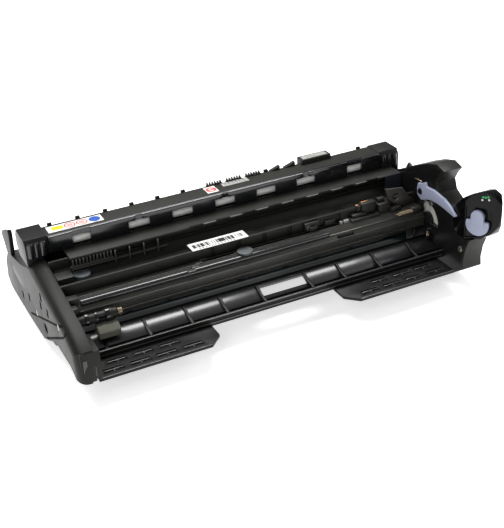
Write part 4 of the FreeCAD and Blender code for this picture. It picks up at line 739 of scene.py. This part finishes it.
# The lips are short pale strips painted as glints along the shelf's front edge
lip = centred("lip", (9.0, 0.44, 0.5))
bright = row("shelf_lips", lip, (-24.5, 2.0, 63.5), 7, (21.0, 0, 0), LIP_PAINTED_GLINT)
detail("shelf_lips", bright, finish=LIP_PAINTED_GLINT)


# Mechanism on the bay's front wall

mechanism = [
    (41.0, 53.0, -19.2, -16.6, 46.6, 53.2), (44.0, 50.0, -21.2, -18.9, 46.5, 50.4),
    (78.0, 104.0, -23.6, -17.0, 46.2, 48.4), (80.0, 92.0, -21.2, -16.8, 48.2, 50.8),
    (89.0, 101.0, -19.4, -14.3, 48.0, 57.0), (86.0, 90.0, -18.0, -14.6, 49.0, 55.4),
    (102.5, 112.0, -21.6, -14.4, 46.4, 54.2), (104.0, 110.0, -17.8, -14.3, 54.0, 57.2),
    (58.0, 66.0, -19.0, -16.8, 47.0, 51.0), (112.0, 121.0, -23.4, -17.4, 46.2, 49.2),
]
eye = [(42.4, 45.0, -19.6, -19.0, 47.4, 51.8)]
clear = [(70.6, 72.6, -19.4, -17.2, 45.6, 47.4), (73.8, 78.0, -19.6, -17.2, 45.6, 47.8)]
strips = [(90.4, 97.4, -16.2, -15.4, 56.8, 57.5), (85.6, 89.4, -16.0, -15.2, 55.2, 55.8)]
detail("sensor_blocks", blocks("sensor_blocks", mechanism, 0.35))
detail("sensor_face", blocks("sensor_face", eye, 0.15), "grey_blue")
detail("clear_block", blocks("clear_block", clear, 0.3), "white_plastic")
detail("copper_strips", blocks("copper_strips", strips, 0.15), "spring_gold", COPPER)


# Long rails and lips on the casing and the beam, lighter in colour as painted highlights

CASING = Box("cleaner_casing")
BEAM = Box("front_guide_beam")
RAIL_INSET = 0.6
LIP_INSET = 0.4

rail_left, rail_right = CASING.left + RAIL_INSET, CASING.right - RAIL_INSET
rails = [(rail_left, rail_right, -30.9, -30.3, 39.8, 40.6),
         (rail_left, rail_right, -22.2, -21.6, 46.1, 46.9),
         (rail_left, rail_right, -18.4, -17.8, 46.2, 46.8),
         (57.0, rail_right, -28.0, -27.2, 43.0, 43.8),
         (rail_left, rail_right, -31.4, -30.8, 33.6, 34.4)]
detail("casing_rails", blocks("casing_rails", rails), finish=LINE_PAINTED_HIGHLIGHT)

lip_left, lip_right = BEAM.left + LIP_INSET, BEAM.right - LIP_INSET
lips = [(lip_left, lip_right, -57.4, -56.6, 22.6, 23.4), (lip_left, lip_right, -57.6, -56.8, 19.2, 20.0)]
detail("beam_lip", blocks("beam_lip", lips), finish=LINE_PAINTED_HIGHLIGHT)


# Nose marks: two pale dots and a plain green field

# The direction that the nose's slanted face looks in
NOSE_FACE = Vector((-0.848, -0.53, 0.0))


def studs(name, radius, rim, crown, sides, places):
    """Low studs, each a little higher in its middle than at its rim."""
    profile = [(0, 0), (radius, 0), (radius, rim), (0, crown)]
    return joined(name, [turned("stud", profile, place, NOSE_FACE, sides) for place in places])


dots = studs("nose_dots", 0.75, 0.25, 0.30, 20, ((143.6, -90.6, 76.0), (146.2, -94.8, 77.0)))
detail("nose_dots", dots, "white_plastic")
green = studs("nose_field", 1.15, 0.20, 0.25, 4,
              ((143.9, -91.1, 78.2), (144.9, -92.7, 78.4), (145.9, -94.3, 79.0)))
detail("nose_field", green, "white_plastic", GREEN)


# Glossy shoulder of the bar painted lighter as a highlight, open at its notches, and stepped collars at its
# ends

SHOULDER_INSET = 0.4
SHOULDER_FRONT = BAR.front + 0.2
SHOULDER_OUTLINE = ((SHOULDER_FRONT, BAR.top - 0.44), (BAR.back, BAR.top - 0.03),
                    (BAR.back, BAR.top - 0.40), (SHOULDER_FRONT, BAR.top - 0.90))
NOTCHES = ((-114.7, 13.4), (-72.1, 5.0), (-5.0, 5.0), (62.1, 5.0), (104.5, 13.4))

ends = [BAR.left + SHOULDER_INSET]
for middle, width in NOTCHES:
    ends += [middle - width / 2, middle + width / 2]
ends.append(BAR.right - SHOULDER_INSET)
strip = prisms("bar_shoulder", SHOULDER_OUTLINE, zip(ends[::2], ends[1::2]))
detail("bar_shoulder", strip, "gloss_black", SHOULDER_PAINTED_HIGHLIGHT)

COLLAR_HALF = 5.5
COLLAR_STEP = 0.4
COLLAR_Y = Box("bar_end_cap_left").front + 1.0
COLLAR_Z = 68.6
COLLARS = ((-151.4, 2.2), (-146.9, 1.6), (-142.4, 2.0), (130.6, 1.8), (135.4, 1.4), (140.4, 2.0))


def collar(x, radius):
    """An upright drum with narrower ends."""
    wide, side = radius + COLLAR_STEP, COLLAR_HALF - 0.5
    profile = [(0, -COLLAR_HALF), (radius, -COLLAR_HALF), (wide, -side), (wide, side),
               (radius, COLLAR_HALF), (0, COLLAR_HALF)]
    return turned("collar", profile, (x, COLLAR_Y, COLLAR_Z), UPRIGHT, 24)


detail("cap_collars", joined("cap_collars", [collar(x, radius) for x, radius in COLLARS]), "gloss_black")


# T-shaped ribs in the pockets of the paper flaps, and the flaps' rims, lighter in colour as painted
# highlights

TEE_PITCH = 18.5
BACK_ROW_Y = -63.6
FRONT_ROW_Y = -72.6
POCKET_FLOOR = 17.7

tee = joined("tee", [blocks("bar", [(-6.6, 6.6, -0.35, 0.35, -0.4, 0.45)], 0.15),
                     blocks("stem", [(-0.35, 0.35, -2.3, -0.3, -0.4, 0.45)], 0.15)])
pockets = ((-129.0, FRONT_ROW_Y, 4, TEE_PITCH), (-124.0, BACK_ROW_Y, 3, TEE_PITCH),
           (119.0, FRONT_ROW_Y, 4, -TEE_PITCH), (114.0, BACK_ROW_Y, 3, -TEE_PITCH))
tees = [row("tees", tee.copy(), (x, y, POCKET_FLOOR), count, (pitch, 0, 0), LINE_PAINTED_HIGHLIGHT)
        for x, y, count, pitch in pockets]
detail("flap_tees", joined("flap_tees", tees), finish=LINE_PAINTED_HIGHLIGHT)
rims = [(x0, x1, BEAM.front + 0.05, BEAM.front + 0.60, 17.9, 18.35)
        for x0, x1 in ((-140.8, -62.5), (52.5, 130.8))]
detail("flap_rims", blocks("flap_rims", rims, 0.12), finish=LINE_PAINTED_HIGHLIGHT)


# Stepped seam of the casing's cover, lighter in colour as a painted highlight, and the cover's end blocks

SEAM_STEP_X = 4.4
SEAM_STEP_Y = 3.6
seam = [(-56.0 + SEAM_STEP_X * i, -50.4 + SEAM_STEP_X * i, -29.5 + SEAM_STEP_Y * i, -26.3 + SEAM_STEP_Y * i,
         46.2, 47.1) for i in range(5)]
detail("casing_seam", blocks("casing_seam", seam), finish=LINE_PAINTED_HIGHLIGHT)
end_blocks = [(-141.8, -130.0, -8.0, 2.6, 50.0, 55.2), (-142.2, -134.6, -29.6, -23.6, 45.6, 50.4),
              (-142.2, -137.6, -36.8, -31.0, 42.0, 47.0), (128.0, 136.2, -29.0, -24.0, 43.0, 47.6)]
detail("casing_ends", blocks("casing_ends", end_blocks, 0.5))


# Rings round the waste pipe

PIPE = Box("waste_pipe")
RING_BORE = 3.0
RING_CHAMFER = 0.3


def pipe_ring(x, radius, width):
    """A ring with chamfered rims."""
    side, waist, rim = width / 2, width / 2 - RING_CHAMFER, radius - RING_CHAMFER
    profile = [(RING_BORE, -side), (rim, -side), (radius, -waist), (radius, waist), (rim, side),
               (RING_BORE, side), (RING_BORE, -side)]
    return turned("ring", profile, (x, PIPE.y, PIPE.z), ALONG_X, 32)


rings = [pipe_ring(-134.0, 4.4, 2.4), pipe_ring(-127.4, 4.0, 1.8), pipe_ring(-119.6, 4.5, 3.2)]
detail("pipe_rings", joined("pipe_rings", rings), "gloss_black")


# Ribs on the slope of the rear housing, and small steps on the left cheek's foot

SLOPE = ((95.3, 23.4), (96.0, 24.6), (80.5, 34.9), (58.3, 40.9), (40.2, 44.9), (40.0, 43.4), (58.0, 39.4),
         (80.0, 33.4))
slope_rib = prisms("slope_rib", SLOPE, [(-0.7, 0.7)])
rear_ribs = row("rear_ribs", slope_rib, (-112.0, 0.0, 0.0), 9, (28.0, 0, 0), MATERIALS["housing_black"])
detail("rear_ribs", rear_ribs)
foot = [(-150.6, -147.8, -81.9, -81.2, 25.0, 36.0), (-146.2, -142.4, -81.9, -81.2, 22.6, 30.0)]
detail("foot_steps", blocks("foot_steps", foot, 0.25), "gloss_black")


# Cover screws with a cross recess: two in each cheek, all facing the same way

STEEL = MATERIALS["screw_steel"]
SCREWS = Box("cover_screws")
LOBES = 0.5
HEAD = 2.2
HEAD_DEPTH = 1.2
SHANK = 1.2
LENGTH = 5.2
RECESS = [(0, 0.8), (0.75, 0.75, LOBES), (0.95, 0.0, LOBES)]
SCREW = [*RECESS, (HEAD - 0.25, 0.0), (HEAD, 0.25), (HEAD, HEAD_DEPTH), (SHANK, HEAD_DEPTH),
         (SHANK, LENGTH - 0.2), (SHANK - 0.2, LENGTH), (0, LENGTH)]
screw = turned("screw", SCREW, (0, 0, 0), ALONG_X, 32)
right_face = SCREWS.right - LENGTH
pairs = [row("screws_left", screw, (SCREWS.left, -48.0, 44.0), 2, (0, 61.9, -21.9), STEEL),
         row("screws_right", screw.copy(), (right_face, -39.6, 54.4), 2, (0, -37.9, -21.4), STEEL)]
screws = joined("cover_screws_piece", pairs)
detail("cover_screws_piece", screws, "screw_steel", replaces=("cover_screws",))


# Studio, in metres and watts

FLOOR_HALF = 6.0
FLOOR_Z = -0.0004
FLOOR_GLOW = 0.10
FLOOR_SEEN = 0.55
SKY_COLOUR = (0.95, 0.97, 1.0, 1.0)
SKY_LIGHT = 0.22
AIM = (0.0, 0.0, 0.05)


def floor():
    """A white sheet just under the part, brighter to the camera and in reflections than its own light."""
    s = Shader("floor_white", (0.90, 0.90, 0.90), 0.9, specular=0.0)
    straight = s.node("ShaderNodeLightPath", output="Is Camera Ray")
    mirrored = s.node("ShaderNodeLightPath", output="Is Glossy Ray")
    s.surface.inputs["Emission Color"].default_value = (1.0, 1.0, 1.0, 1.0)
    s.plug(s.surface.inputs["Emission Strength"], straight.either(mirrored) * FLOOR_SEEN + FLOOR_GLOW)
    corners = [(x * FLOOR_HALF, y * FLOOR_HALF, FLOOR_Z) for x, y in ((-1, -1), (1, -1), (1, 1), (-1, 1))]
    mesh = bpy.data.meshes.new("studio_floor")
    mesh.from_pydata(corners, [], [(0, 1, 2, 3)])
    mesh.materials.append(s.material)
    return placed("studio_floor", mesh)


def area_light(name, place, size, power):
    """A rectangular light that shines at the middle of the part."""
    data = bpy.data.lights.new(name, "AREA")
    data.shape = "RECTANGLE"
    data.size, data.size_y = size
    data.energy = power
    lamp = placed(name, data)
    aim = Vector(AIM) - Vector(place)
    lamp.matrix_world = Matrix.Translation(place) @ aim.to_track_quat("-Z", "Y").to_matrix().to_4x4()
    return lamp


def studio_world():
    """A sky that the camera sees at full strength and that lights the part faintly."""
    world = bpy.data.worlds.new("studio")
    world.use_nodes = True
    tree = world.node_tree
    sky = tree.nodes["Background"]
    sky.inputs["Color"].default_value = SKY_COLOUR
    path = tree.nodes.new("ShaderNodeLightPath")
    strength = tree.nodes.new("ShaderNodeMapRange")
    strength.inputs["To Min"].default_value = SKY_LIGHT
    tree.links.new(path.outputs["Is Camera Ray"], strength.inputs["Value"])
    tree.links.new(strength.outputs["Result"], sky.inputs["Strength"])
    return world


floor()
area_light("top_light", (0.0, 0.55, 1.30), (1.4, 0.7), 32.0)
area_light("front_light", (-0.9, -0.9, 1.0), (0.7, 0.7), 5.0)
area_light("side_light", (1.1, -0.2, 0.8), (0.6, 0.6), 3.0)
bpy.context.scene.world = studio_world()
bpy.context.scene.view_settings.view_transform = "Standard"


# Camera of the photograph, worked out from the vanishing points of the object's edges

# The place, the sensor and the lens are in millimetres, and the axes point right, up and backwards
CAMERA_PLACE = (-273.27, -616.03, 397.17)
CAMERA_RIGHT = (0.8978, -0.4376, -0.0508)
CAMERA_UP = (0.2529, 0.4177, 0.8727)
CAMERA_BACK = (-0.3605, -0.7963, 0.4857)
SENSOR_HEIGHT = 36.0
LENS = 70.84


def photo_camera():
    data = bpy.data.cameras.new("photo_camera")
    data.sensor_fit = "VERTICAL"
    data.sensor_height = SENSOR_HEIGHT
    data.lens = LENS
    data.clip_start = 0.05
    data.clip_end = 20.0
    camera = placed("photo_camera", data)
    turn = Matrix((CAMERA_RIGHT, CAMERA_UP, CAMERA_BACK)).transposed().to_4x4()
    camera.matrix_world = Matrix.Translation(mm(*CAMERA_PLACE)) @ turn
    return camera


bpy.context.scene.camera = photo_camera()
